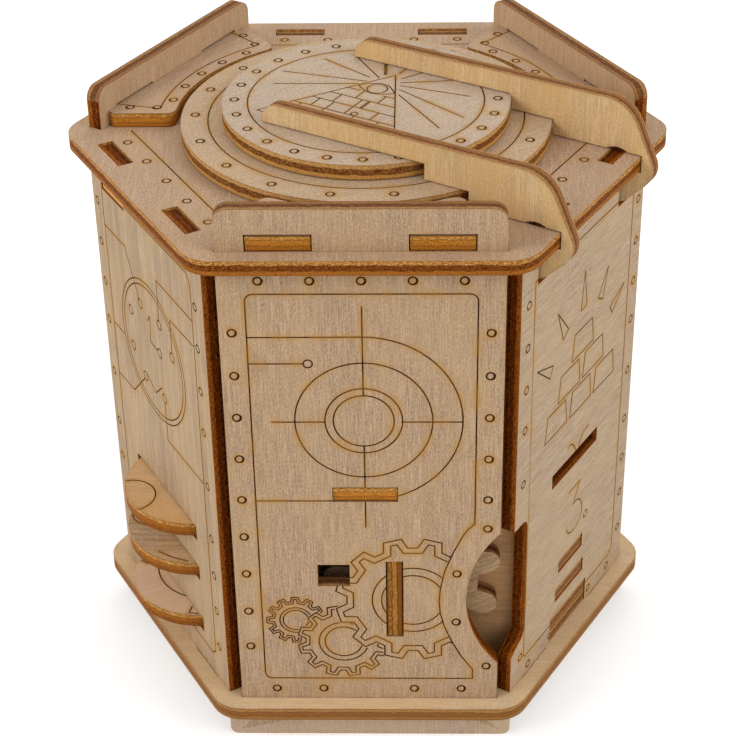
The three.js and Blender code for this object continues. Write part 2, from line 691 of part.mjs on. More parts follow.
// The thumb wheel's outline: round-ended lobes on a round root.
function lobedOutline() {
  const halfRoot = Math.asin(WHEEL_LOBE_HALF_WIDTH / WHEEL_ROOT_RADIUS);
  const tipCentre = WHEEL_RADIUS - WHEEL_LOBE_HALF_WIDTH;
  const pitch = (2 * Math.PI) / WHEEL_LOBES;
  return Array.from({ length: WHEEL_LOBES }, (_, i) => WHEEL_FIRST_LOBE + i * pitch).flatMap((angle) => {
    const centre = point(tipCentre * Math.cos(angle), tipCentre * Math.sin(angle));
    const tip = arc(centre, WHEEL_LOBE_HALF_WIDTH, angle - Math.PI / 2, angle + Math.PI / 2);
    const root = arc(point(0, 0), WHEEL_ROOT_RADIUS, angle + halfRoot, angle + pitch - halfRoot);
    return [...tip, ...root];
  });
}

function wheelSet() {
  const height = FLOOR + WHEEL_HEIGHT;
  const bore = circle(HUB_RADIUS + SHAFT_PLAY);
  const wheelInner = BACK_BOARD_OUT + BOARD + RUN_GAP;
  const wheelBoard = board("thumb_wheel", [lobedOutline()], [bore], veneer());
  const wheel = standing(wheelBoard, wheelInner, WHEEL_X, height);
  const collar = standing(
    board("thumb_wheel_collar", [circle(COLLAR_RADIUS)], [bore], veneer()),
    wheelInner + BOARD,
    WHEEL_X,
    height,
  );
  const hubInner = BACK_BOARD_OUT + BOARD + SEAT_GAP;
  const hubSlot = bridgeSlot(BRIDGE_TAIL_HALF_HEIGHT).map((p) => point(p.x - WHEEL_X, p.y - height));
  const hub = standing(
    board("wheel_hub", [circle(HUB_RADIUS)], [hubSlot], innerVeneer(), WALL_INSIDE - SEAT_GAP - hubInner),
    hubInner,
    WHEEL_X,
    height,
  );
  return [wheel, collar, hub, backBoard(), bridgeKey()];
}

function backBoard() {
  const outlines = [
    rectangle(BACK_BOARD_LEFT, BACK_BOARD_RIGHT, FLOOR + SEAT_GAP, SHELF_UNDERSIDE - SEAT_GAP),
    rectangle(
      WHEEL_X - BACK_BOARD_TAB_HALF_WIDTH,
      WHEEL_X + BACK_BOARD_TAB_HALF_WIDTH,
      BASE_UNDERSIDE + SEAT_GAP,
      SHELF_TOP - SEAT_GAP,
    ),
  ];
  const slot = bridgeSlot(BRIDGE_TAIL_HALF_HEIGHT);
  return standing(board("wheel_back_board", outlines, [slot], innerVeneer()), BACK_BOARD_OUT);
}

// A key with a tall head in the front wall and a lower tail through hub and back board.
function bridgeKey() {
  const height = FLOOR + WHEEL_HEIGHT;
  const outlines = [
    rectangle(WALL_INSIDE, TAB_END, height - BRIDGE_HEAD_HALF_HEIGHT, height + BRIDGE_HEAD_HALF_HEIGHT),
    rectangle(
      BACK_BOARD_OUT - BRIDGE_TAIL,
      TAB_END,
      height - BRIDGE_TAIL_HALF_HEIGHT,
      height + BRIDGE_TAIL_HALF_HEIGHT,
    ),
  ];
  return edgeOn(board("bridge_key", outlines, [], veneer()), BRIDGE_X + BOARD / 2);
}

function middleShelf() {
  const inner = WALL_INSIDE - SEAT_GAP;
  const tab = rectangle(-SHELF_TAB_HALF_WIDTH, SHELF_TAB_HALF_WIDTH, -TAB_END, -inner + BOARD);
  const bore = circle(DIAL_SPINDLE_RADIUS + SLOT_PLAY / 2, point(0, -DIAL_AXIS_OUT));
  return lying(
    board(
      "middle_shelf",
      [hexagon(inner, 0), ...RAIL_SIDES.map((side) => turned(tab, side))],
      [turned(bore, LEFT_FRONT), tabSlot(BACK_BOARD_OUT), turned(rackBackSlot(), RIGHT_FRONT)],
      innerVeneer(),
    ),
    SHELF_UNDERSIDE,
  );
}

// A lying board of the rack, with an outer tab in the wall and an inner tab in the back.
function rackBoard(name, underside, tabHalfWidth) {
  const outlines = [
    rectangle(-RACK_HALF_WIDTH, RACK_HALF_WIDTH, -RACK_FRONT, -RACK_SHELF_END),
    rectangle(-tabHalfWidth, tabHalfWidth, -TAB_END, -RACK_FRONT + BOARD),
    rectangle(
      -RACK_INNER_TAB_HALF_WIDTH,
      RACK_INNER_TAB_HALF_WIDTH,
      -RACK_SHELF_END - BOARD,
      -RACK_BACK_OUT - SEAT_GAP,
    ),
  ];
  return lying(board(name, outlines, [], innerVeneer()), underside);
}

function rack() {
  const blockNames = ["rack_block_upper", "rack_block_lower"];
  const shelfNames = ["rack_shelf_upper", "rack_shelf_lower"];
  const shelves = RACK_SHELF_HEIGHTS.map((height, i) =>
    rackBoard(shelfNames[i], FLOOR + height - BOARD / 2, RACK_TAB_HALF_WIDTHS[i]),
  );
  const blocks = BLOCK_UNDERSIDES.map((underside, i) =>
    rackBoard(blockNames[i], underside, RACK_BLOCK_TAB_HALF_WIDTH),
  );
  const half = RACK_INNER_TAB_HALF_WIDTH + SLOT_PLAY;
  const shelfSlots = RACK_SHELF_HEIGHTS.map((height) =>
    rectangle(-half, half, FLOOR + height - BOARD / 2 - SLOT_PLAY, FLOOR + height + BOARD / 2 + SLOT_PLAY),
  );
  const blockSlot = rectangle(-half, half, FLOOR - BOARD, BLOCKS_TOP + SLOT_PLAY);
  const high = SHELF_UNDERSIDE - SEAT_GAP;
  const tab = RACK_INNER_TAB_HALF_WIDTH;
  const outlines = [
    rectangle(-RACK_BACK_HALF_WIDTH, RACK_BACK_HALF_WIDTH, FLOOR + SEAT_GAP, high),
    rectangle(-tab, tab, high - BOARD, SHELF_TOP - SEAT_GAP),
  ];
  const back = board("rack_back", outlines, [...shelfSlots, blockSlot], innerVeneer());
  return onSide(RIGHT_FRONT, ...shelves, ...blocks, standing(back, RACK_BACK_OUT));
}

const box = new THREE.Group();
box.add(
  basePlate(),
  frontWall(),
  rightFrontWall(),
  railedWall("right_rear_wall", RIGHT_REAR, []),
  tabbedWall("rear_wall", REAR, []),
  railedWall("left_rear_wall", LEFT_REAR, [mirrored(cornerShelfSlot())]),
  leftFrontWall(),
  lidPlate(),
  arcKey("arc_key_front", FRONT),
  arcKey("arc_key_right_rear", RIGHT_REAR),
  arcKey("arc_key_left_rear", LEFT_REAR),
  middleShelf(),
  cornerShelf(),
  ...discs(),
  arms(),
  dialStack(),
  ...wheelSet(),
  rack(),
);

export default box;
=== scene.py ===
import json
import logging
import math
from collections.abc import Callable
from dataclasses import dataclass, field
from enum import Enum

import bmesh
import bpy
import numpy as np
from mathutils import Matrix, Vector
from mathutils.geometry import delaunay_2d_cdt

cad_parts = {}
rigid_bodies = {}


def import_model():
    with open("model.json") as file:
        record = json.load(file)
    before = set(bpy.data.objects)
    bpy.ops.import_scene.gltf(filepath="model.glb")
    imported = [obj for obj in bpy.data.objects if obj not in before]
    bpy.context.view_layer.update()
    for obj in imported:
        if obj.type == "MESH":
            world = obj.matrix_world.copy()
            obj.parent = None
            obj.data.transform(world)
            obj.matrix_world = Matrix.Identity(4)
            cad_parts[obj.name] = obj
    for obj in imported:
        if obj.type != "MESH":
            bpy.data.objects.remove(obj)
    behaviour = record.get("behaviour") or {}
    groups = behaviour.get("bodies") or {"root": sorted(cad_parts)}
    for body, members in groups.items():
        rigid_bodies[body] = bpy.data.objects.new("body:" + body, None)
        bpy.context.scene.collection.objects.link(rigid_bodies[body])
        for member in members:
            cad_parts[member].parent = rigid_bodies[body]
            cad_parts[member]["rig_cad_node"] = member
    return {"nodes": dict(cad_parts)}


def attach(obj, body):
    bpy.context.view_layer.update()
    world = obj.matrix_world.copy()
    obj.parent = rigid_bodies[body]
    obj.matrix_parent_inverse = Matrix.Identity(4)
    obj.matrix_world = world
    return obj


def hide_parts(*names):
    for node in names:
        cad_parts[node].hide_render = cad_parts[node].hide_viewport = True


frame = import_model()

for start_object in [o for o in bpy.data.objects if o.type in ("CAMERA", "LIGHT")]:
    bpy.data.objects.remove(start_object)
for start_mesh in [o for o in bpy.data.objects if o.type == "MESH" and "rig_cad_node" not in o]:
    bpy.data.objects.remove(start_mesh)
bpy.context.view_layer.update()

log = logging.getLogger("puzzle_box")

Point = tuple[float, float]
Path = list[Point]
Colour = tuple[float, float, float]
Value = bpy.types.NodeSocket | Colour | float

# Lengths are in millimetres, and angles in degrees where a name doesn't say otherwise
MM = 0.001
BASE_TOP = 13.5
BOARD = 4.0

# The engraved grooves
GROOVE_DEPTH = 0.28
GROOVE_SLOPE = 0.06
LINE_HALF_WIDTH = 0.12
RIVET_HALF_WIDTH = 0.16
# Painted shade: the broader dark crescent on each rivet's lower right, its half width here and its arc in
# degrees below
SHADED_CRESCENT_HALF_WIDTH = 0.24
RIVET_RADIUS = 1.05
RIVET_POINTS = 14
SHADED_CRESCENT_ARC = (-62, 22)

# How burnt a face is at each distance from a line, and from its rim
BURN_STEPS = ((0.0, 1.0), (0.2, 0.62), (0.7, 0.3), (1.7, 0.0))
RIM_STEPS = ((0.0, 1.0), (0.35, 0.4), (1.4, 0.0))

# How the guides beside a line are laid
SHARP_TURN = 2.4
LONGEST_MITRE = 60.0
GUIDE_STEP = 1.2
GUIDE_SHARE = 0.9

# A wall's upright sides, whose darker edge is partly painted shade, are further out than this, and lower
# than this
FLANK_REACH = 27.0
FLANK_TOP = 138.0

# How far each board's figure is moved, so that no two are alike: a step and how many
FIGURE_SHIFTS = ((37.3, 17), (53.1, 13))

# Limits of the reckoning
TINY = 1e-9
FAR = 99.0
POINTS_AT_ONCE = 512
WELD = 1e-6
CUT_TOLERANCE = 1e-4
FLAT_TOLERANCE = 0.01
SHARP_EDGE = math.radians(28)


# Where a board lies


@dataclass(frozen=True)
class Sheet:
    """The plane of a board: a point on it, its two directions and the way its face looks."""

    origin: Vector
    across: Vector
    up: Vector
    out: Vector

    def flat(self, place: Vector) -> tuple[float, float, float]:
        """Returns a place of the frame as millimetres across, up and out of the plane."""
        offset = (place - self.origin) / MM
        return offset.dot(self.across), offset.dot(self.up), offset.dot(self.out)

    def place(self, across: float, up: float, out: float) -> Vector:
        """Returns the place in the frame of a point given in the plane's millimetres."""
        return self.origin + (self.across * across + self.up * up + self.out * out) * MM


def side_out(side: int) -> Vector:
    """Returns the outward direction of one of the six sides, counted from the front."""
    angle = math.radians(60 * side - 90)
    return Vector((math.cos(angle), math.sin(angle), 0))


def side_along(side: int) -> Vector:
    """Returns the level direction along a side, to the right as seen from outside."""
    out = side_out(side)
    return Vector((-out.y, out.x, 0))


def standing(side: int) -> Sheet:
    """Returns the plane of a wall; heights start at the top of the base."""
    return Sheet(Vector((0, 0, BASE_TOP * MM)), side_along(side), Vector((0, 0, 1)), side_out(side))


def lying(centre: Vector = Vector((0, 0, 0)), side: int | None = None) -> Sheet:
    """Returns the plane of a board that lies flat.

    Args:
        centre: the point the board's measures start from.
        side: the side the board's own directions follow, or None for the frame's.

    Returns:
        A plane that looks up.
    """
    if side is None:
        return Sheet(centre, Vector((1, 0, 0)), Vector((0, 1, 0)), Vector((0, 0, 1)))
    return Sheet(centre, side_along(side), -side_out(side), Vector((0, 0, 1)))


def edge_on(side: int) -> Sheet:
    """Returns the plane of a board that stands square to a side."""
    return Sheet(Vector((0, 0, BASE_TOP * MM)), side_out(side), Vector((0, 0, 1)), -side_along(side))


# Engraved drawings


def arc(centre: Point, radius: float, start: float, end: float, steps: int = 0) -> Path:
    """Returns the points of an arc, its angles in degrees.

    Args:
        centre: the arc's middle.
        radius: its radius.
        start: the angle where it starts, in degrees.
        end: the angle where it ends.
        steps: how many points, or 0 for as many as its size needs.

    Returns:
        The points in order.
    """
    count = steps or max(3, int(abs(end - start) * math.sqrt(radius) / 26) + 2)
    angles = np.radians(np.linspace(start, end, count))
    return [(centre[0] + radius * math.cos(a), centre[1] + radius * math.sin(a)) for a in angles]


def finely(path: Path, closed: bool, step: float = 0.4) -> Path:
    """Returns the path with points added, so that none are further apart than the step.

    Args:
        path: the line's points.
        closed: whether the line comes back to its start.
        step: the longest way between two points.

    Returns:
        The points in order.
    """
    ends = path[1:] + path[:1] if closed else path[1:]
    fine: Path = []
    for (x0, y0), (x1, y1) in zip(path, ends):
        parts = max(1, math.ceil(math.hypot(x1 - x0, y1 - y0) / step))
        fine += [(x0 + (x1 - x0) * i / parts, y0 + (y1 - y0) * i / parts) for i in range(parts)]
    return fine + ([] if closed else [path[-1]])


def simple(path: Path, tolerance: float = 0.03) -> Path:
    """Returns the path without the points that its neighbours already give.

    Args:
        path: the line's points.
        tolerance: how far a point may be moved by leaving it out.

    Returns:
        The points that are left.
    """
    kept = [path[0]]
    for here, after in zip(path[1:-1], path[2:]):
        ax, ay = after[0] - kept[-1][0], after[1] - kept[-1][1]
        bx, by = here[0] - kept[-1][0], here[1] - kept[-1][1]
        if abs(ax * by - ay * bx) > tolerance * math.hypot(ax, ay):
            kept.append(here)
    return kept + [path[-1]]


@dataclass
class Stroke:
    """One engraved line."""

    path: Path
    closed: bool = False
    half_width: float = LINE_HALF_WIDTH
    black: bool = False


@dataclass
class Drawing:
    """The engraved lines of a board's face, in the board's own millimetres."""

    strokes: list[Stroke] = field(default_factory=list)

    def line(self, *path: Point, half_width: float = LINE_HALF_WIDTH) -> "Drawing":
        """Adds an open line through the points and returns the drawing."""
        self.strokes.append(Stroke(list(path), False, half_width))
        return self

    def loop(self, *path: Point) -> "Drawing":
        """Adds a closed line through the points and returns the drawing."""
        self.strokes.append(Stroke(list(path), True))
        return self

    def ring(self, centre: Point, radius: float) -> "Drawing":
        """Adds a circle and returns the drawing."""
        count = max(RIVET_POINTS, int(14 * math.sqrt(radius)))
        path = arc(centre, radius, 0, 360, count + 1)[:-1]
        self.strokes.append(Stroke(path, True))
        return self

    def rivets(self, *places: Point, burnt_and_shaded: bool = False) -> "Drawing":
        """Adds a small circle, as of a rivet's head, at each place.

        Args:
            places: the circles' middles.
            burnt_and_shaded: whether each circle gets a broader dark crescent on its lower right, painted
                shade of the rivet's dip.

        Returns:
            The drawing.
        """
        for centre in places:
            path = arc(centre, RIVET_RADIUS, 0, 360, RIVET_POINTS + 1)[:-1]
            self.strokes.append(Stroke(path, True, RIVET_HALF_WIDTH, True))
            if burnt_and_shaded:
                # The crescent is painted shade of the rivet's dip, drawn as a black stroke
                path = arc(centre, RIVET_RADIUS, *SHADED_CRESCENT_ARC, 4)
                self.strokes.append(Stroke(path, False, SHADED_CRESCENT_HALF_WIDTH, True))
        return self

    def seen(self, path: Path, closed: bool, shows: Callable[[np.ndarray], np.ndarray]) -> "Drawing":
        """Adds only the parts of a line that another shape doesn't cover.

        Args:
            path: the line's points.
            closed: whether the line comes back to its start.
            shows: says of each of many points whether the line shows there.

        Returns:
            The drawing.
        """
        fine = finely(path, closed)
        marks = [bool(mark) for mark in shows(np.array(fine, float))]
        if closed and not all(marks):
            turn = marks.index(False)
            fine, marks = fine[turn:] + fine[:turn + 1], marks[turn:] + marks[:turn + 1]
            closed = False
        if all(marks):
            self.strokes.append(Stroke(path, closed))
            return self
        run: Path = []
        for point, shown in zip(fine + [fine[-1]], marks + [False]):
            if shown:
                run.append(point)
            elif run:
                if len(run) > 2:
                    self.strokes.append(Stroke(simple(run)))
                run = []
        return self

    def frame_line(self, left: float, right: float, low: float, high: float,
                   corner: float = 2) -> "Drawing":
        """Adds a rectangle with rounded corners and returns the drawing.

        Args:
            left: where its left side is.
            right: where its right side is.
            low: where its foot is.
            high: where its top is.
            corner: the corners' radius.

        Returns:
            The drawing.
        """
        path: Path = []
        for x, y, start in ((right, high, 0), (left, high, 90), (left, low, 180), (right, low, 270)):
            centre = (x - math.copysign(corner, x - (left + right) / 2),
                      y - math.copysign(corner, y - (low + high) / 2))
            path += arc(centre, corner, start, start + 90, 5)
        return self.loop(*path)


@dataclass(frozen=True)
class Gear:
    """A drawn gear wheel: where it is, how many teeth it has and how big they are."""

    centre: Point
    teeth: int
    tip: float
    root: float
    tooth_base: float
    tooth_top: float
    rings: tuple[float, ...]
    turn: float = 0
    band: float = 1.9

    def outline(self, inset: float = 0) -> Path:
        """Returns the toothed outline, or one that lies the inset within it.

        Args:
            inset: how far within the outline the line lies.

        Returns:
            The points in order.
        """
        path: Path = []
        for tooth in range(self.teeth):
            middle = math.radians(self.turn) + 2 * math.pi * tooth / self.teeth
            base = (self.tooth_base / 2 - inset) / (self.root - inset)
            top = (self.tooth_top / 2 - inset) / (self.tip - inset)
            for angle, radius in ((-base, self.root), (-top, self.tip), (top, self.tip), (base, self.root)):
                reach = radius - inset
                path.append((self.centre[0] + reach * math.cos(middle + angle),
                             self.centre[1] + reach * math.sin(middle + angle)))
        return path


def segments_of(strokes: list[Stroke]) -> tuple[np.ndarray, np.ndarray, np.ndarray]:
    """Returns the starts, the ends and the half widths of all the strokes' straight parts.

    Args:
        strokes: the strokes.

    Returns:
        Three arrays, with a row for each part.
    """
    starts, ends, widths = [], [], []
    for stroke in strokes:
        after = stroke.path[1:] + stroke.path[:1] if stroke.closed else stroke.path[1:]
        for a, b in zip(stroke.path, after):
            starts.append(a)
            ends.append(b)
            widths.append(stroke.half_width)
    places = [np.array(side, float).reshape(-1, 2) for side in (starts, ends)]
    return places[0], places[1], np.array(widths, float)


def clearance(points: np.ndarray, starts: np.ndarray, ends: np.ndarray, widths: np.ndarray) -> np.ndarray:
    """Returns how far each point is from the nearest of many thick lines.

    Args:
        points: the points, one a row.
        starts: where each line starts.
        ends: where each line ends.
        widths: half of each line's width.

    Returns:
        One distance for each point, below zero inside a line.
    """
    nearest = np.full(len(points), FAR)
    if not len(starts):
        return nearest
    span = ends - starts
    squared = np.maximum((span ** 2).sum(1), TINY)
    for first in range(0, len(points), POINTS_AT_ONCE):
        block = points[first:first + POINTS_AT_ONCE]
        offset = block[:, None, :] - starts[None]
        share = np.clip((offset * span[None]).sum(2) / squared[None], 0, 1)
        away = offset - share[..., None] * span[None]
        distance = np.sqrt((away ** 2).sum(2)) - widths[None]
        nearest[first:first + POINTS_AT_ONCE] = distance.min(1)
    return nearest


def enclosed(points: np.ndarray, loops: list[Path]) -> np.ndarray:
    """Returns which points lie inside an outline and outside its holes.

    Args:
        points: the points, one a row.
        loops: the closed lines of the outline and its holes.

    Returns:
        A true or a false for each point.
    """
    odd = np.zeros(len(points), bool)
    x, y = points[:, 0], points[:, 1]
    for loop in loops:
        for (x0, y0), (x1, y1) in zip(loop, loop[1:] + loop[:1]):
            if y0 != y1:
                odd ^= ((y0 > y) != (y1 > y)) & (x < (x1 - x0) * (y - y0) / (y1 - y0) + x0)
    return odd


def offset_side(points: np.ndarray, before: np.ndarray, after: np.ndarray, distance: float) -> Path:
    """Returns the points beside a line, with a round corner where it turns sharply away.

    Args:
        points: the line's points.
        before: for each point, the left normal of the part that comes to it.
        after: for each point, the left normal of the part that leaves it.
        distance: how far to the left the new line runs, or below zero to the right.

    Returns:
        The new line.
    """
    path: Path = []
    for point, old, new in zip(points, before, after):
        middle = old + new
        square = float(middle @ middle)
        turns_left = old[0] * new[1] - old[1] * new[0]
        if square < SHARP_TURN and turns_left * distance < 0:
            ahead = np.array([old[1], -old[0]]) * math.copysign(1, distance)
            half = middle / math.sqrt(square) if square > 1e-6 else ahead
            path += [tuple(point + normal * distance) for normal in (old, half, new)]
        else:
            path.append(tuple(point + middle * (distance * min(2 / max(square, 1e-6), LONGEST_MITRE))))
    return path


def beside(path: Path, closed: bool, distance: float) -> list[Path]:
    """Returns the closed loops that run beside a line at a distance, on both its sides.

    Args:
        path: the line's points.
        closed: whether the line comes back to its start.
        distance: how far from the line the loops run.

    Returns:
        Two loops for a closed line, one round the whole of an open one.
    """
    points = np.array(path, float)
    step = np.roll(points, -1, 0) - points
    length = np.maximum(np.hypot(step[:, 0], step[:, 1]), TINY)
    after = np.stack([-step[:, 1], step[:, 0]], 1) / length[:, None]
    before = np.roll(after, 1, 0)
    if not closed:
        after[-1] = after[-2]
        before[0] = after[0]
    left = offset_side(points, before, after, distance)
    right = offset_side(points, before, after, -distance)
    if closed:
        return [left, right]
    caps: list[Path] = []
    for end, facing in ((points[-1], after[-1]), (points[0], -after[0])):
        start = math.degrees(math.atan2(facing[1], facing[0]))
        caps.append(arc(tuple(end), distance, start - 45, start - 135, 3))
    return [left + caps[0] + right[::-1] + caps[1]]


def stepped(distance: np.ndarray, steps: tuple[tuple[float, float], ...]) -> np.ndarray:
    """Returns the value that falls in straight steps with the distance from a line."""
    return np.interp(distance, [s[0] for s in steps], [s[1] for s in steps])


# Finishes


class Grain(Enum):
    """The direction in which a board's fibres run."""

    UP = 0
    ACROSS = 90
    SLANTED = 62
    ALONG_FRONT = 30


@dataclass(frozen=True)
class FaceFinish:
    """The look of a board's two faces."""

    name: str
    light: Colour
    dark: Colour
    warm: Colour
    fibre: float = 0.5
    streak: float = 0.35
    cloud: float = 0.4
    speckle: float = 0.25
    haze: float = 0.8
    roughness: float = 0.62
    char: Colour = (0.040, 0.013, 0.003)
    toast: Colour = (0.33, 0.145, 0.04)


@dataclass(frozen=True)
class EdgeFinish:
    """The look of a board's cut edge, with its plies."""

    name: str
    outer: Colour
    middle: Colour
    inner: Colour
    char: Colour
    fleck: Colour
    mottle: float = 0.6
    arris: float = 0.5
    seam: float = 0.5
    roughness: float = 0.55


OLIVE_LINE: Colour = (0.12, 0.062, 0.016)
OLIVE_TOAST: Colour = (0.25, 0.15, 0.06)
TAUPE = FaceFinish("face_taupe", (0.655, 0.45, 0.28), (0.385, 0.25, 0.147), (0.555, 0.37, 0.195),
                   fibre=0.95)
WHEEL = FaceFinish("face_wheel", (0.66, 0.455, 0.27), (0.24, 0.145, 0.075), (0.53, 0.35, 0.175), fibre=1.0,
                   streak=0.9)
# Painted light: the bottom dial's face, its own pinkish tone lifted to make up for the shade of the dials
# above
MAUVE_PAINTED_LIGHT = FaceFinish("face_mauve_painted_light", (0.80, 0.56, 0.375), (0.62, 0.41, 0.27), (0.70, 0.47, 0.27), fibre=0.7)
FRONT_TAUPE = FaceFinish("face_front", (0.625, 0.43, 0.272), (0.29, 0.187, 0.115), (0.525, 0.353, 0.18),
                         fibre=1.0, speckle=0.4)
# Painted light: the walls' faces below the base, paler than above to make up for the shade under the base
FOOT_PAINTED_LIGHT = FaceFinish("face_foot_painted_light", (0.68, 0.51, 0.37), (0.41, 0.295, 0.205), (0.62, 0.45, 0.28), fibre=1.0)
SCRATCHED = FaceFinish("face_scratched", (0.585, 0.435, 0.29), (0.315, 0.21, 0.135), (0.53, 0.37, 0.205),
                       fibre=1.0, streak=0.25, char=OLIVE_LINE, toast=OLIVE_TOAST)
STREAKED = FaceFinish("face_streaked", (0.59, 0.42, 0.265), (0.32, 0.215, 0.13), (0.54, 0.375, 0.20),
                      fibre=0.8, streak=0.75, char=OLIVE_LINE, toast=OLIVE_TOAST)
LID_GREY = FaceFinish("face_lid", (0.575, 0.39, 0.255), (0.325, 0.215, 0.14), (0.50, 0.315, 0.16),
                      speckle=0.6, fibre=0.95, char=(0.08, 0.03, 0.008), toast=OLIVE_TOAST)
DISC_SAND = FaceFinish("face_disc_sand", (0.60, 0.43, 0.28), (0.35, 0.24, 0.15), (0.53, 0.36, 0.19),
                       speckle=0.7, fibre=0.95, char=(0.09, 0.037, 0.010), toast=OLIVE_TOAST)
DISC_GREY = FaceFinish("face_disc", (0.595, 0.46, 0.345), (0.355, 0.265, 0.195), (0.53, 0.38, 0.225),
                       speckle=0.7, fibre=0.95, char=(0.09, 0.037, 0.010), toast=OLIVE_TOAST)
PALE = FaceFinish("face_pale", (0.86, 0.635, 0.36), (0.52, 0.325, 0.15), (0.72, 0.46, 0.185), fibre=0.9,
                  streak=0.5, cloud=0.6)
SAND = FaceFinish("face_sand", (0.77, 0.57, 0.355), (0.54, 0.37, 0.21), (0.68, 0.48, 0.25), fibre=0.8,
                  cloud=0.5)
# Painted light: the top dial's face, its own golden tan lifted to make up for the shade of the wall above
# it
TAN_PAINTED_LIGHT = FaceFinish("face_tan_painted_light", (0.78, 0.52, 0.275), (0.49, 0.285, 0.12), (0.68, 0.36, 0.125), fibre=0.6,
                 cloud=0.7)
# Painted light: the middle dial's face, its own brown lifted to make up for the shade of the dial above
BROWN_PAINTED_LIGHT = FaceFinish("face_brown_painted_light", (0.83, 0.60, 0.38), (0.30, 0.185, 0.105), (0.72, 0.46, 0.22), fibre=0.9,
                   streak=0.9)
PLAIN = FaceFinish("face_inner", (0.50, 0.345, 0.21), (0.35, 0.225, 0.13), (0.46, 0.29, 0.14), fibre=0.8)
BEHIND = FaceFinish("face_behind", (0.55, 0.315, 0.15), (0.34, 0.185, 0.082), (0.47, 0.26, 0.10),
                    fibre=0.95)

GOLDEN = EdgeFinish("edge_golden", (0.58, 0.29, 0.075), (0.16, 0.043, 0.010), (0.60, 0.31, 0.085),
                    (0.09, 0.028, 0.008), (0.90, 0.64, 0.30), mottle=0.55, arris=0.35)
LID_EDGE = EdgeFinish("edge_lid", (0.41, 0.134, 0.018), (0.12, 0.024, 0.002), (0.42, 0.143, 0.021),
                      (0.08, 0.022, 0.005), (0.90, 0.52, 0.165), mottle=0.75, arris=0.3)
BASE_EDGE = EdgeFinish("edge_base", (0.40, 0.18, 0.05), (0.29, 0.11, 0.03), (0.38, 0.17, 0.045),
                       (0.09, 0.03, 0.010), (0.66, 0.40, 0.15), mottle=0.5)
RAIL_EDGE = EdgeFinish("edge_rail", (0.36, 0.17, 0.062), (0.12, 0.038, 0.011), (0.33, 0.15, 0.052),
                       (0.07, 0.022, 0.007), (0.58, 0.34, 0.13), mottle=0.6, seam=0.4)
# Real char of a cut edge, darkened further as painted shade of the gaps between walls, its inner ply
# painted near black as shade: for the walls' upright sides and the two front walls
DEEP_CHAR_AND_SHADE = EdgeFinish("edge_deep_char_and_shade", (0.275, 0.062, 0.003), (0.092, 0.017, 0.0015), (0.016, 0.004, 0.001),
                  (0.47, 0.145, 0.014), (0.53, 0.18, 0.024), mottle=0.9, arris=0.5, seam=-0.15)
ARM_EDGE = EdgeFinish("edge_arm", (0.37, 0.165, 0.055), (0.17, 0.055, 0.016), (0.33, 0.145, 0.05),
                      (0.70, 0.47, 0.20), (0.60, 0.36, 0.14), mottle=0.6, arris=0.55, seam=-0.25)
BRIGHT = EdgeFinish("edge_bright", (0.44, 0.155, 0.018), (0.62, 0.25, 0.035), (0.48, 0.175, 0.021),
                    (0.05, 0.014, 0.004), (0.90, 0.56, 0.17), mottle=0.75, arris=0.7, seam=0.4)
DIAL_EDGE = EdgeFinish("edge_dial", (0.44, 0.165, 0.022), (0.38, 0.122, 0.015), (0.25, 0.070, 0.011),
                       (0.13, 0.035, 0.007), (0.90, 0.55, 0.185), mottle=0.8, arris=0.5, seam=0.2)
# Painted light: the corner shelf's tab edge, made pale to make up for the shade under the lid's overhang
TAN_EDGE_PAINTED_LIGHT = EdgeFinish("edge_tan_painted_light", (0.70, 0.40, 0.13), (0.52, 0.25, 0.06), (0.70, 0.38, 0.11),
                      (0.20, 0.07, 0.02), (0.90, 0.62, 0.27), mottle=0.6, arris=0.3, seam=0.3)
RACK_EDGE = EdgeFinish("edge_rack", (0.40, 0.19, 0.058), (0.18, 0.062, 0.022), (0.36, 0.165, 0.05),
                       (0.06, 0.02, 0.008), (0.64, 0.38, 0.13), mottle=0.75)
WHEEL_EDGE = EdgeFinish("edge_wheel", (0.21, 0.085, 0.03), (0.055, 0.015, 0.005), (0.26, 0.12, 0.05),
                        (0.04, 0.013, 0.005), (0.45, 0.26, 0.11), mottle=0.6)
BRIDGE_EDGE = EdgeFinish("edge_bridge", (0.24, 0.075, 0.010), (0.50, 0.22, 0.045), (0.26, 0.085, 0.012),
                         (0.06, 0.018, 0.004), (0.64, 0.34, 0.09), mottle=0.6, seam=0.7)

# The yellow round a burnt line, and how much paler specks and darker soot are
HALO: Colour = (0.50, 0.265, 0.07)
SPECK_GAIN = 1.22
SOOT_GAIN = 0.3


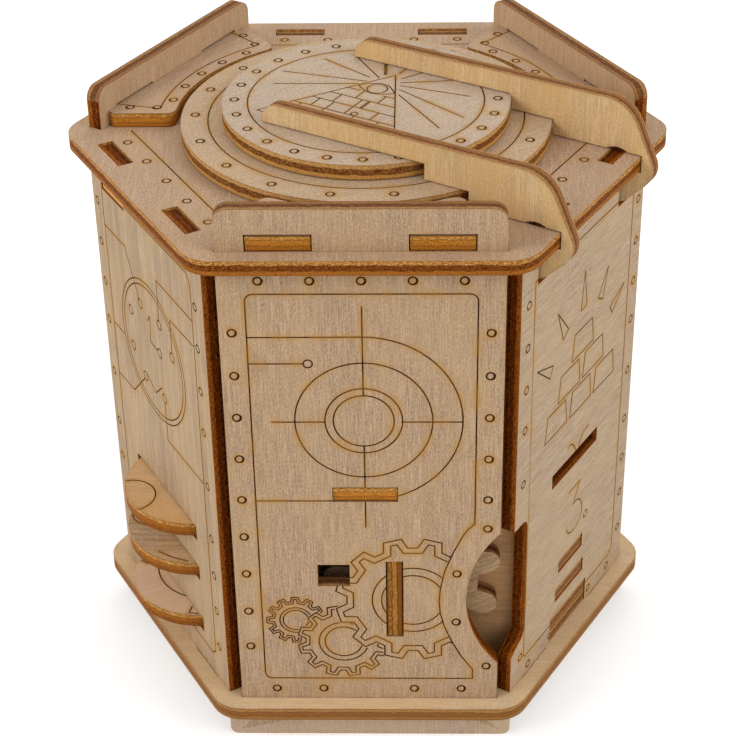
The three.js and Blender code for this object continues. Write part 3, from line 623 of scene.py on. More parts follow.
class Nodes:
    """Adds shader nodes to a tree and joins them."""

    def __init__(self, tree: bpy.types.NodeTree) -> None:
        """Starts with the tree that the nodes go into."""
        self.tree = tree

    def add(self, kind: str, **settings: object) -> bpy.types.Node:
        """Returns a new node of a kind, with its settings made.

        Args:
            kind: the node's kind, as Blender names it.
            settings: its settings by name.

        Returns:
            The node.
        """
        node = self.tree.nodes.new(kind)
        for name, value in settings.items():
            setattr(node, name, value)
        return node

    def feed(self, socket: bpy.types.NodeSocket, value: Value) -> None:
        """Joins a socket to another, or gives it a plain value.

        Args:
            socket: the socket to feed.
            value: another socket, a colour or a number.
        """
        if isinstance(value, bpy.types.NodeSocket):
            self.tree.links.new(value, socket)
        elif isinstance(value, tuple) and len(value) == 3 and socket.type == "RGBA":
            socket.default_value = (*value, 1)
        else:
            socket.default_value = value

    def maths(self, operation: str, first: Value, second: Value = 0.0,
              clamp: bool = False) -> bpy.types.NodeSocket:
        """Returns the result of a sum of two values.

        Args:
            operation: the sum, as Blender names it.
            first: the first value.
            second: the second value.
            clamp: whether to keep the result from 0 to 1.

        Returns:
            The result.
        """
        node = self.add("ShaderNodeMath", operation=operation, use_clamp=clamp)
        self.feed(node.inputs[0], first)
        self.feed(node.inputs[1], second)
        return node.outputs[0]

    def span(self, value: Value, low: float, high: float, to_low: float = 0, to_high: float = 1,
             smooth: bool = False) -> bpy.types.NodeSocket:
        """Returns a value moved from one range to another.

        Args:
            value: the value to move.
            low: the low end of the first range.
            high: its high end.
            to_low: what the low end becomes.
            to_high: what the high end becomes.
            smooth: whether to ease in and out.

        Returns:
            The moved value.
        """
        node = self.add("ShaderNodeMapRange", interpolation_type="SMOOTHSTEP" if smooth else "LINEAR")
        for name, number in (("Value", value), ("From Min", low), ("From Max", high), ("To Min", to_low),
                             ("To Max", to_high)):
            self.feed(node.inputs[name], number)
        return node.outputs["Result"]

    def glaze(self, colour: Value, mask: Value, share: float, paint: Value) -> bpy.types.NodeSocket:
        """Returns a colour with a share of another one laid over it where a mask says."""
        return self.blend(self.maths("MULTIPLY", mask, share), colour, paint)

    def blend(self, share: Value, first: Value, second: Value) -> bpy.types.NodeSocket:
        """Returns a mixture of two colours.

        Args:
            share: how much of the second colour shows.
            first: the first colour.
            second: the second colour.

        Returns:
            The mixture.
        """
        node = self.add("ShaderNodeMix", data_type="RGBA")
        self.feed(node.inputs["Factor"], share)
        self.feed(node.inputs["A"], first)
        self.feed(node.inputs["B"], second)
        return node.outputs["Result"]

    def scaled(self, vector: bpy.types.NodeSocket, by: tuple[float, float, float]) -> bpy.types.NodeSocket:
        """Returns a vector with each of its parts scaled.

        Args:
            vector: the vector.
            by: the three scales.

        Returns:
            The scaled vector.
        """
        node = self.add("ShaderNodeVectorMath", operation="MULTIPLY")
        self.feed(node.inputs[0], vector)
        node.inputs[1].default_value = by
        return node.outputs[0]

    def noise(self, vector: bpy.types.NodeSocket, scale: float, detail: float = 3, roughness: float = 0.55,
              distortion: float = 0) -> bpy.types.NodeSocket:
        """Returns a soft random value over a vector.

        Args:
            vector: where the value is taken.
            scale: how fine it is.
            detail: how many finer layers it has.
            roughness: how strong they are.
            distortion: how far it is bent.

        Returns:
            The value, from 0 to 1.
        """
        node = self.add("ShaderNodeTexNoise")
        for name, number in (("Vector", vector), ("Scale", scale), ("Detail", detail),
                             ("Roughness", roughness), ("Distortion", distortion)):
            self.feed(node.inputs[name], number)
        return node.outputs["Fac"]

    def seen_directly(self) -> bpy.types.NodeSocket:
        """Returns 1 for what the camera sees, also in or through another surface, and 0 for light.

        Returns:
            The value, for a mask.
        """
        rays = self.add("ShaderNodeLightPath")
        mirrored = self.maths("MAXIMUM", rays.outputs["Is Glossy Ray"], rays.outputs["Is Transmission Ray"])
        return self.maths("MAXIMUM", rays.outputs["Is Camera Ray"], mirrored)


Started = tuple[Nodes, dict[str, bpy.types.NodeSocket], bpy.types.Node]


def new_group(name: str, takes: dict[str, str], gives: tuple[str, ...]) -> Started:
    """Starts a shader node group.

    Args:
        name: the group's name.
        takes: the inputs' names, each with its socket's kind.
        gives: the names of the values it puts out.

    Returns:
        The group's nodes, its inputs by name, and its output node.
    """
    tree = bpy.data.node_groups.new(name, "ShaderNodeTree")
    for title, kind in takes.items():
        tree.interface.new_socket(title, in_out="INPUT", socket_type=kind)
    for title in gives:
        tree.interface.new_socket(title, in_out="OUTPUT", socket_type="NodeSocketFloat")
    nodes = Nodes(tree)
    start, end = nodes.add("NodeGroupInput"), nodes.add("NodeGroupOutput")
    return nodes, {title: start.outputs[title] for title in takes}, end


def fibre_group() -> bpy.types.NodeTree:
    """Returns the group that draws the wood's fibres, streaks, clouds and pale specks.

    Returns:
        The group.
    """
    nodes, given, end = new_group("wood_fibres", {"Vector": "NodeSocketVector"},
                                  ("Fibre", "Streak", "Cloud", "Speckle"))
    fine = nodes.noise(nodes.scaled(given["Vector"], (2.9, 0.12, 1.0)), 1, 2, 0.6, 0.2)
    short = nodes.noise(nodes.scaled(given["Vector"], (3.8, 1.0, 2.2)), 1, 2, 0.65, 0.3)
    nodes.feed(end.inputs["Fibre"], nodes.maths("ADD", nodes.span(fine, 0.39, 0.61, 0, 0.6),
                                                nodes.span(short, 0.38, 0.62, 0, 0.4)))
    wide = nodes.noise(nodes.scaled(given["Vector"], (0.42, 0.02, 0.2)), 1, 4, 0.6, 0.9)
    nodes.feed(end.inputs["Streak"], nodes.span(wide, 0.38, 0.64))
    cloud = nodes.noise(nodes.scaled(given["Vector"], (0.075, 0.03, 0.05)), 1, 2, 0.5, 0.4)
    nodes.feed(end.inputs["Cloud"], nodes.span(cloud, 0.38, 0.66, smooth=True))
    speck = nodes.noise(nodes.scaled(given["Vector"], (3.4, 1.3, 2)), 1, 1, 0.6)
    nodes.feed(end.inputs["Speckle"], nodes.span(speck, 0.46, 0.66))
    return nodes.tree


def scorch_group() -> bpy.types.NodeTree:
    """Returns the group that burns the engraved lines and the rims, with their yellow halo.

    Returns:
        The group.
    """
    nodes, given, end = new_group(
        "scorch", {"Vector": "NodeSocketVector", "Burn": "NodeSocketFloat", "Rim": "NodeSocketFloat"},
        ("Char", "Toast", "Halo"))
    patch = nodes.noise(given["Vector"], 0.11, 3, 0.6)
    fleck = nodes.noise(given["Vector"], 1.9, 2, 0.6)
    uneven = nodes.maths("ADD", nodes.span(patch, 0.42, 0.6, 0.1, 1.35),
                         nodes.span(fleck, 0.3, 0.7, -0.2, 0.2))
    line = nodes.span(given["Burn"], 0.78, 1.0, smooth=True)
    rim = nodes.maths("MULTIPLY", nodes.span(given["Rim"], 0.78, 1.0, smooth=True),
                      nodes.span(patch, 0.35, 0.65, 0.0, 0.5))
    # Black strokes char fully: the rivets' rings, which are burnt, and their broad crescents, which are
    # painted shade
    black = nodes.maths("MAXIMUM", nodes.span(patch, 0.42, 0.6, 1.05, 0.25),
                        nodes.span(given["Burn"], 1.0, 1.5))
    char = nodes.maths("MULTIPLY", line, black)
    nodes.feed(end.inputs["Char"], nodes.maths("MAXIMUM", char, rim, clamp=True))
    toast = nodes.span(given["Burn"], 0.62, 0.95, smooth=True)
    nodes.feed(end.inputs["Toast"], nodes.maths("MULTIPLY", toast, nodes.span(patch, 0.4, 0.6, 0.8, 1.0)))
    glow = nodes.maths("ADD", nodes.span(given["Burn"], 0.02, 0.75),
                       nodes.span(given["Rim"], 0.05, 0.9, 0, 0.35), clamp=True)
    nodes.feed(end.inputs["Halo"], nodes.maths("MULTIPLY", glow, uneven, clamp=True))
    return nodes.tree


def ply_group() -> bpy.types.NodeTree:
    """Returns the group that tells a cut edge's plies apart by their depth under the face.

    Returns:
        The group.
    """
    nodes, given, end = new_group("plies", {"Vector": "NodeSocketVector", "Depth": "NodeSocketFloat"},
                                  ("Middle", "Inner", "Arris", "Mottle", "Seam", "Soot"))
    wander = nodes.span(nodes.noise(given["Vector"], 0.35, 3, 0.6), 0.3, 0.7, -0.22, 0.22)
    depth = nodes.maths("ADD", given["Depth"], wander)
    from_middle = nodes.maths("ABSOLUTE", nodes.maths("SUBTRACT", depth, BOARD / 2))
    nodes.feed(end.inputs["Middle"], nodes.span(from_middle, 0.85, 0.6, smooth=True))
    nodes.feed(end.inputs["Inner"], nodes.span(depth, BOARD * 0.6, BOARD * 0.7, smooth=True))
    nodes.feed(end.inputs["Seam"], nodes.span(
        nodes.maths("ABSOLUTE", nodes.maths("SUBTRACT", from_middle, 0.74)), 0.2, 0.05, smooth=True))
    plain = nodes.maths("ABSOLUTE", nodes.maths("SUBTRACT", given["Depth"], BOARD / 2))
    nodes.feed(end.inputs["Arris"], nodes.span(plain, BOARD / 2 - 0.35, BOARD / 2 - 0.08, smooth=True))
    coarse = nodes.noise(nodes.scaled(given["Vector"], (1.3, 1.3, 2.4)), 1, 3, 0.7, 0.4)
    nodes.feed(end.inputs["Mottle"], nodes.span(coarse, 0.42, 0.62))
    fine = nodes.noise(nodes.scaled(given["Vector"], (2.6, 2.6, 3.4)), 1, 2, 0.65, 0.3)
    nodes.feed(end.inputs["Soot"], nodes.span(fine, 0.5, 0.66))
    return nodes.tree


class Paintshop:
    """Makes each finish once, as a material."""

    def __init__(self) -> None:
        """Builds the shared groups."""
        self.fibres = fibre_group()
        self.scorch = scorch_group()
        self.plies = ply_group()
        self.made: dict[str, bpy.types.Material] = {}

    def start(self, name: str, roughness: float,
              shine: float = 0.1) -> tuple[Nodes, bpy.types.Node, bpy.types.Node]:
        """Returns a new material's nodes, its shader and the board's own coordinates.

        Args:
            name: the material's name.
            roughness: how rough it is all over.
            shine: how much light its surface mirrors.

        Returns:
            The nodes, the shader and the node of the coordinates.
        """
        material = bpy.data.materials.new(name)
        material.use_nodes = True
        nodes = Nodes(material.node_tree)
        shader = material.node_tree.nodes["Principled BSDF"]
        shader.inputs["Roughness"].default_value = roughness
        shader.inputs["Specular IOR Level"].default_value = shine
        self.made[name] = material
        return nodes, shader, nodes.add("ShaderNodeAttribute", attribute_name="sheet")

    def group(self, nodes: Nodes, tree: bpy.types.NodeTree, **values: Value) -> bpy.types.Node:
        """Returns a group's node with its inputs fed.

        Args:
            nodes: the material's nodes.
            tree: the group.
            values: what goes into it, by name.

        Returns:
            The group's node.
        """
        node = nodes.add("ShaderNodeGroup", node_tree=tree)
        for name, value in values.items():
            nodes.feed(node.inputs[name], value)
        return node

    def emboss(self, nodes: Nodes, shader: bpy.types.Node, height: Value, strength: float,
               rise: float) -> None:
        """Gives a shader the small relief of a height.

        Args:
            nodes: the material's nodes.
            shader: the shader that gets the relief.
            height: the height, from nodes.
            strength: how strongly the relief shows.
            rise: how high it is, in millimetres.
        """
        bump = nodes.add("ShaderNodeBump")
        bump.inputs["Strength"].default_value = strength
        bump.inputs["Distance"].default_value = rise * MM
        nodes.feed(bump.inputs["Height"], height)
        nodes.feed(shader.inputs["Normal"], bump.outputs["Normal"])

    def face(self, finish: FaceFinish, grain: Grain) -> bpy.types.Material:
        """Returns the material of a board's faces, with its fibres in the grain's direction.

        Args:
            finish: the look of the faces.
            grain: the direction of the fibres.

        Returns:
            The material.
        """
        name = f"{finish.name}_{grain.name.lower()}"
        if name in self.made:
            return self.made[name]
        nodes, shader, sheet = self.start(name, finish.roughness)
        turned = nodes.add("ShaderNodeMapping")
        turned.inputs["Rotation"].default_value = (0, 0, math.radians(grain.value))
        nodes.feed(turned.inputs["Vector"], sheet.outputs["Vector"])
        wood = self.group(nodes, self.fibres, Vector=turned.outputs[0])
        marks = {mark: nodes.add("ShaderNodeAttribute", attribute_name=mark).outputs["Fac"]
                 for mark in ("burn", "rim")}
        burnt_and_shaded = self.group(nodes, self.scorch, Vector=sheet.outputs["Vector"], Burn=marks["burn"],
                           Rim=marks["rim"])
        pale = tuple(min(1.0, part * SPECK_GAIN) for part in finish.light)
        colour = finish.light
        for mask, share, paint in (
                (wood.outputs["Fibre"], finish.fibre, finish.dark),
                (wood.outputs["Streak"], finish.streak, finish.dark),
                (wood.outputs["Cloud"], finish.cloud, finish.warm),
                (wood.outputs["Speckle"], finish.speckle, pale),
                (burnt_and_shaded.outputs["Halo"], finish.haze, HALO),
                (burnt_and_shaded.outputs["Toast"], finish.haze, finish.toast)):
            colour = nodes.glaze(colour, mask, share, paint)
        colour = nodes.blend(burnt_and_shaded.outputs["Char"], colour, finish.char)
        nodes.feed(shader.inputs["Base Color"], colour)
        rough = nodes.span(wood.outputs["Fibre"], 0, 1, finish.roughness - 0.08, finish.roughness + 0.1)
        nodes.feed(shader.inputs["Roughness"], rough)
        raised = nodes.maths("MULTIPLY", wood.outputs["Speckle"], 0.5)
        self.emboss(nodes, shader, nodes.maths("SUBTRACT", raised, wood.outputs["Fibre"]), 0.32, 0.16)
        return self.made[name]

    def edge(self, finish: EdgeFinish) -> bpy.types.Material:
        """Returns the material of a board's cut edge.

        Args:
            finish: the look of the edge.

        Returns:
            The material.
        """
        if finish.name in self.made:
            return self.made[finish.name]
        nodes, shader, sheet = self.start(finish.name, finish.roughness, 0.03)
        depth = nodes.add("ShaderNodeSeparateXYZ")
        nodes.feed(depth.inputs[0], sheet.outputs["Vector"])
        ply = self.group(nodes, self.plies, Vector=sheet.outputs["Vector"], Depth=depth.outputs["Z"])
        colour = nodes.blend(ply.outputs["Middle"], nodes.blend(
            ply.outputs["Inner"], finish.outer, finish.inner), finish.middle)
        pale = nodes.blend(ply.outputs["Middle"], nodes.blend(
            ply.outputs["Inner"], finish.fleck, finish.outer), finish.outer)
        sooty = tuple(part * SOOT_GAIN for part in finish.middle)
        seam = finish.char if finish.seam > 0 else finish.fleck
        for mask, share, paint in (
                ("Mottle", finish.mottle, pale), ("Soot", finish.mottle, sooty),
                ("Seam", abs(finish.seam), seam), ("Arris", finish.arris, finish.char)):
            colour = nodes.glaze(colour, ply.outputs[mask], share, paint)
        nodes.feed(shader.inputs["Base Color"], colour)
        rough = nodes.span(ply.outputs["Mottle"], 0, 1, finish.roughness - 0.1, finish.roughness + 0.12)
        nodes.feed(shader.inputs["Roughness"], rough)
        height = nodes.maths("SUBTRACT", ply.outputs["Mottle"], ply.outputs["Seam"])
        self.emboss(nodes, shader, height, 0.4, 0.2)
        return self.made[finish.name]

    def dowel(self) -> bpy.types.Material:
        """Returns the material of the turned rods, whose fibres run along Z.

        Returns:
            The material.
        """
        if "dowel_rod" in self.made:
            return self.made["dowel_rod"]
        nodes, shader, _ = self.start("dowel_rod", 0.5)
        place = nodes.add("ShaderNodeTexCoord")
        vector = nodes.scaled(place.outputs["Object"], (1 / MM, 1 / MM, 1 / MM))
        upright = nodes.add("ShaderNodeMapping")
        upright.inputs["Rotation"].default_value = (math.radians(90), 0, 0)
        nodes.feed(upright.inputs["Vector"], vector)
        wood = self.group(nodes, self.fibres, Vector=upright.outputs[0])
        colour = nodes.blend(wood.outputs["Fibre"], (0.56, 0.38, 0.20), (0.42, 0.26, 0.125))
        nodes.feed(shader.inputs["Base Color"], colour)
        nodes.feed(shader.inputs["Roughness"], nodes.span(wood.outputs["Fibre"], 0, 1, 0.42, 0.6))
        self.emboss(nodes, shader, wood.outputs["Fibre"], 1.0, 0.1)
        return self.made["dowel_rod"]


# Boards


@dataclass
class Board:
    """One laser-cut board: its outline comes from the frame, its engraving from a drawing."""

    node: str
    sheet: Sheet
    face: FaceFinish = PLAIN
    edge: EdgeFinish = GOLDEN
    grain: Grain = Grain.UP
    slot: str = "board"
    drawing: Drawing = field(default_factory=Drawing)
    # The darker edge of a wall's upright sides (char and painted shade), and the paler face of its part
    # below the base (painted light)
    flank: EdgeFinish | None = None
    foot: FaceFinish | None = None

    def outline(self) -> tuple[list[Path], float, float]:
        """Returns the closed lines round the board's face, and the heights of its face and back.

        Returns:
            The lines, the face's height and the back's height.
        """
        solid = bmesh.new()
        solid.from_mesh(frame["nodes"][self.node].data)
        bmesh.ops.remove_doubles(solid, verts=solid.verts, dist=WELD)
        solid.normal_update()
        flat = {v: self.sheet.flat(v.co) for v in solid.verts}
        top, bottom = max(f[2] for f in flat.values()), min(f[2] for f in flat.values())
        pieces = [f for f in solid.faces if all(flat[v][2] > top - FLAT_TOLERANCE for v in f.verts)]
        on_face = set(pieces)
        follows: dict[bmesh.types.BMVert, bmesh.types.BMVert] = {}
        for piece in pieces:
            for loop in piece.loops:
                if not any(other in on_face for other in loop.edge.link_faces if other is not piece):
                    follows[loop.vert] = loop.link_loop_next.vert
        loops: list[Path] = []
        while follows:
            start, here = next(iter(follows.items()))
            path = [start]
            del follows[start]
            while here is not start:
                path.append(here)
                here = follows.pop(here)
            loops.append([flat[v][:2] for v in path])
        solid.free()
        return loops, top, bottom

    def face_mesh(self, loops: list[Path]) -> tuple[np.ndarray, np.ndarray]:
        """Cuts the face into triangles along the outline and along the sides of every engraved line.

        Args:
            loops: the closed lines round the face.

        Returns:
            The points and the triangles.
        """
        rims = [Stroke(loop, True, 0.0) for loop in loops]
        guides: list[Path] = list(loops)
        for stroke in self.drawing.strokes:
            for gap in (-GROOVE_SLOPE, *(step for step, _ in BURN_STEPS)):
                reach = stroke.half_width + gap
                guides += self.worth(beside(stroke.path, stroke.closed, reach), stroke, reach)
        for rim in rims:
            for step, _ in RIM_STEPS[1:]:
                guides += self.worth(beside(rim.path, True, step), rim, step)
        points: list[Vector] = []
        edges: list[tuple[int, int]] = []
        for path in guides:
            first = len(points)
            points += [Vector(p) for p in path]
            edges += [(first + i, first + (i + 1) % len(path)) for i in range(len(path))]
        verts, _, faces, *_ = delaunay_2d_cdt(points, edges, [], 0, CUT_TOLERANCE)
        places = np.array([tuple(v) for v in verts], float)
        corners = np.array(faces, int)
        centres = places[corners].mean(1)
        faces_in = corners[enclosed(centres, loops)]
        first, second, third = (places[faces_in[:, i]] for i in range(3))
        area = (second[:, 0] - first[:, 0]) * (third[:, 1] - first[:, 1]) - (
            second[:, 1] - first[:, 1]) * (third[:, 0] - first[:, 0])
        faces_in[area < 0] = faces_in[area < 0][:, ::-1]
        used = np.unique(faces_in)
        fresh = np.full(len(places), -1)
        fresh[used] = np.arange(len(used))
        return places[used], fresh[faces_in]

    def marks(self, places: np.ndarray, loops: list[Path]) -> tuple[np.ndarray, np.ndarray, np.ndarray]:
        """Says how the laser has marked each point of the face.

        Args:
            places: the points of the face.
            loops: the closed lines round the face.

        Returns:
            For each point, how deep the groove is, how burnt it is (to 2 in a black line, whose rivet
            crescents are painted shade), and how near the rim it is.
        """
        strokes = self.drawing.strokes
        line_gap = clearance(places, *segments_of(strokes))
        black_gap = clearance(places, *segments_of([stroke for stroke in strokes if stroke.black]))
        rim_gap = clearance(places, *segments_of([Stroke(loop, True, 0.0) for loop in loops]))
        sunk, black = (np.clip(-gap / GROOVE_SLOPE, 0, 1) for gap in (line_gap, black_gap))
        return sunk * GROOVE_DEPTH, stepped(line_gap, BURN_STEPS) + black, stepped(rim_gap, RIM_STEPS)

    def worth(self, loops: list[Path], stroke: Stroke, reach: float) -> list[Path]:
        """Returns the loops without the points that a tight bend brings too near the line.

        Args:
            loops: the loops to thin out.
            stroke: the line that they run beside.
            reach: how far from the line they run.

        Returns:
            The loops that are left.
        """
        lines = segments_of([Stroke(stroke.path, stroke.closed, 0.0)])
        kept = []
        for loop in loops:
            fine = finely(loop, True, GUIDE_STEP)
            gaps = clearance(np.array(fine, float), *lines)
            path = [p for p, gap in zip(fine, gaps) if gap > GUIDE_SHARE * reach]
            if len(path) > 2:
                kept.append(simple(path))
        return kept

    def is_flank(self, piece: bmesh.types.BMFace) -> bool:
        """Says whether a cut face is on a wall's upright side, between the base and the lid."""
        across, up, _ = self.sheet.flat(piece.calc_center_median())
        return abs(across) > FLANK_REACH and 0 < up < FLANK_TOP

    def is_foot(self, piece: bmesh.types.BMFace) -> bool:
        """Says whether a face is of the part of a wall that is below the base."""
        return self.sheet.flat(piece.calc_center_median())[1] < -BOARD

    def build(self, shop: Paintshop, body: str) -> bpy.types.Object:
        """Makes the board, dresses it and lets it ride.

        Args:
            shop: where the materials come from.
            body: the moving or still part that carries the board.

        Returns:
            The finished piece.
        """
        loops, top, bottom = self.outline()
        places, triangles = self.face_mesh(loops)
        depth, burn, rim = self.marks(places, loops)
        mesh = bmesh.new()
        burn_layer = mesh.verts.layers.float.new("burn")
        rim_layer = mesh.verts.layers.float.new("rim")
        sheet_layer = mesh.verts.layers.float_vector.new("sheet")
        shift = Vector((*(step * (hash_of(self.node) % count) for step, count in FIGURE_SHIFTS), 0))
        front = []
        for (x, y), burnt_and_shaded, near_rim in zip(places, burn, rim):
            vert = mesh.verts.new(self.sheet.place(x, y, top))
            vert[burn_layer], vert[rim_layer] = float(burnt_and_shaded), float(near_rim)
            vert[sheet_layer] = Vector((x, y, 0)) + shift
            front.append(vert)
        for corners in triangles:
            mesh.faces.new([front[i] for i in corners])
        made = bmesh.ops.extrude_face_region(mesh, geom=list(mesh.faces))["geom"]
        back = [g for g in made if isinstance(g, bmesh.types.BMVert)]
        bmesh.ops.translate(mesh, vec=self.sheet.out * (bottom - top) * MM, verts=back)
        for vert in back:
            vert[burn_layer] = 0
            vert[sheet_layer] = vert[sheet_layer] + Vector((0, 0, top - bottom))
        for vert, sunk in zip(front, depth):
            if sunk:
                vert.co -= self.sheet.out * float(sunk) * MM
        bmesh.ops.recalc_face_normals(mesh, faces=list(mesh.faces))
        mesh.normal_update()
        behind = set(back)
        for piece in mesh.faces:
            ends = sum(v in behind for v in piece.verts)
            piece.material_index = 1 if 0 < ends < len(piece.verts) else 0
            # The upright sides between base and lid get the darker edge, partly painted shade of the gaps
            # between walls
            if self.flank and piece.material_index and self.is_flank(piece):
                piece.material_index = 2
            # Faces below the base get the paler face, painted light against the shade under the base
            if self.foot and not piece.material_index and self.is_foot(piece):
                piece.material_index = 3
            piece.smooth = True
        for line in mesh.edges:
            if len(line.link_faces) == 2 and line.calc_face_angle(0) > SHARP_EDGE:
                line.smooth = False
        data = bpy.data.meshes.new(f"{self.node}_board")
        mesh.to_mesh(data)
        mesh.free()
        piece = placed(f"{self.node}_board", data)
        data.materials.append(shop.face(self.face, self.grain))
        data.materials.append(shop.edge(self.edge))
        if self.flank:
            data.materials.append(shop.edge(self.flank))
        if self.foot:
            data.materials.append(shop.face(self.foot, self.grain))
        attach(piece, body)
        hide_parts(self.node)
        log.info("%s: %d faces", piece.name, len(data.polygons))
        return piece


def placed(name: str, data: bpy.types.ID) -> bpy.types.Object:
    """Returns a new object of the scene that shows a mesh, a lamp or a camera."""
    item = bpy.data.objects.new(name, data)
    bpy.context.scene.collection.objects.link(item)
    return item


def hash_of(name: str) -> int:
    """Returns a number that is always the same for a name."""
    return sum((i + 3) * ord(letter) for i, letter in enumerate(name))


# The engraved faces


@dataclass
class FrontWork:
    """The engraving of the front wall: a sight, three gears and a border round the finger cut-out."""

    sight: Point = (0, 93)
    edge: float = 28.4
    low: float = 7.1
    high: float = 130.3
    bay: tuple[Point, ...] = ((28.4, 60.3), (26.8, 58.8), (25.4, 56.6), (22.8, 50.8), (20.6, 44.6),
                              (19.5, 38.6), (19.2, 34.4), (19.5, 30.4), (20.6, 25.8), (22.4, 21),
                              (25, 15.6), (28.4, 10.4))
    big: Gear = Gear((12.2, 34.8), 12, 20.8, 17.7, 6.6, 4.9, (10.9, 8.4), 15, 1.6)
    middle: Gear = Gear((-6.6, 20.3), 12, 12.5, 10.3, 3.9, 3.0, (6.7, 5.1), 13, 0.95)
    small: Gear = Gear((-19.4, 27.8), 12, 7.9, 6.4, 2.5, 2.0, (4.3, 3.4), 0, 0.62)

    def before_bay(self, points: np.ndarray) -> np.ndarray:
        """Says which points are left of the border round the cut-out."""
        across, heights = zip(*self.bay[::-1])
        return (points[:, 0] < np.interp(points[:, 1], heights, across) - 0.1) & (points[:, 1] > self.low)

    def draw(self) -> Drawing:
        """Returns the drawing.

        Returns:
            The drawing.
        """
        art = Drawing()
        edge, low, high = self.edge, self.low, self.high
        corner = arc((edge - 2, high - 2), 2, 0, 90, 5) + arc((-edge + 2, high - 2), 2, 90, 180, 5) + arc(
            (-edge + 2, low + 2), 2, 180, 270, 5)
        art.line(*self.bay, (edge, low), *corner[::-1], self.bay[0])
        art.rivets(*[(x, 134) for x in (-25, -12.5, 0, 12.5, 25)], burnt_and_shaded=True)
        art.rivets(*[(-32, z) for z in (119.2, 106.6, 94, 81.2, 68.2, 56.1, 43.7, 30.9, 18.6)], burnt_and_shaded=True)
        art.rivets(*[(31.7, z) for z in (119.1, 106.5, 93.9, 81.1, 68.2)], (31.8, 58.8), (23.9, 43.8),
                   (23.8, 27.2), (32.1, 11.6), burnt_and_shaded=True)
        art.rivets(*[(x, 3.4) for x in (-25.4, -12.5, 12.5, 25.4)], burnt_and_shaded=True)
        for radius in (7.7, 9.8, 17.4):
            art.ring(self.sight, radius)
        x, y = self.sight
        art.line((-edge, 117.9), *arc(self.sight, 25, 90, -69.5))
        art.line((-edge, 110.2), (-14.8, 110.2)).ring((-13.6, 110.2), 1.15)
        art.line((-edge, 67.9), (-8.6, 67.9))
        art.line((x, 126.6), (x, 100.9)).line((x, 85), (x, 59.4))
        art.line((-23.2, 92.7), (-9.8, 92.7)).line((9.6, 92.7), (25, 92.7))
        self.gears(art)
        return art

    def gears(self, art: Drawing) -> None:
        """Adds the three gears, each hidden where a nearer one lies over it.

        Args:
            art: the drawing that gets them.
        """

        for gear, nearer in ((self.big, []), (self.middle, [self.big]), (self.small, [self.middle])):
            covers = [over.outline(-0.35) for over in nearer]

            def shows(points: np.ndarray, covers: list[Path] = covers) -> np.ndarray:
                """Says which points are left of the bay and outside the nearer gear."""
                return self.before_bay(points) & ~enclosed(points, covers)

            art.seen(gear.outline(), True, shows)
            art.seen(gear.outline(gear.band), True, shows)
            for radius in gear.rings:
                art.seen(arc(gear.centre, radius, 0, 360, 37)[:-1], True, shows)


@dataclass
class RightFrontWork:
    """The engraving of the right front wall: a brick pyramid with rays, and a numeral."""

    brick_width: float = 10.4
    brick_height: float = 7.7
    rows: tuple[tuple[float, float], ...] = ((6.8, 99.8), (13.8, 90.9), (21.2, 81.8), (-0.5, 90.8),
                                             (6.9, 81.9), (-7.6, 81.9))
    lean: float = 1.2

    def draw(self) -> Drawing:
        """Returns the drawing.

        Returns:
            The drawing.
        """
        art = Drawing()
        art.line((-25, 128.5), (-27.8, 128.5), (-27.2, 60), (-27.6, 7.6), (-26.6, 6.8), (-25.4, 6.8),
                 (27, 6.2), (28.9, 8.4), (28.9, 128.5), (-22, 128.5))
        art.rivets(*[(32.3, z) for z in (123.5, 110.7, 98.1, 85.7, 68.8, 52.2, 38.6, 26, 13)])
        art.rivets(*[(-31, z) for z in (123.4, 110.9, 98.3, 85.9, 68.9)], (-29.6, 8.6))
        art.rivets((-24.6, 2.6), (-11.2, 3.0), (13.5, 3.0), (25.8, 2.8))
        for right, top in self.rows:
            left, low = right - self.brick_width, top - self.brick_height
            art.loop((right, top), (left, top), (left - self.lean, low), (right + self.lean, low))
        art.loop((0.8, 117.3), (2.7, 106.0), (-0.6, 105.6)).loop((15.3, 111.4), (12.6, 102.5), (9.7, 104.2))
        art.loop((26.2, 100.6), (17.8, 97.3), (19.3, 94.6))
        art.loop((-14.3, 112), (-7.7, 104.1), (-10.7, 102.3))
        art.loop((-25.2, 100.5), (-16, 97.3), (-17.7, 94.2))
        art.line((-4.6, 63.9), (-3.8, 64.6), (-2.7, 64.4), (-1.4, 63.4), (-0.4, 62), (0.3, 60.6))
        art.line((7.8, 64.6), (6.1, 64.4), (4.5, 64), (3.4, 63.3), (2.7, 62.3), (2.3, 60.6))
        art.line((-2.6, 47.9), (4.4, 48), (3.6, 47.6), (0.5, 42.2), (2.1, 42.4), (3.8, 41.8), (5.3, 40.3),
                 (6.1, 38.4), (6.3, 36.4), (5.8, 34.7), (4.6, 33.4), (2.9, 32.7), (0.7, 32.5), (-1.4, 33),
                 (-2.7, 34.2), (-3.2, 35.8))
        art.ring((8.7, 33.4), 1.15)
        return art


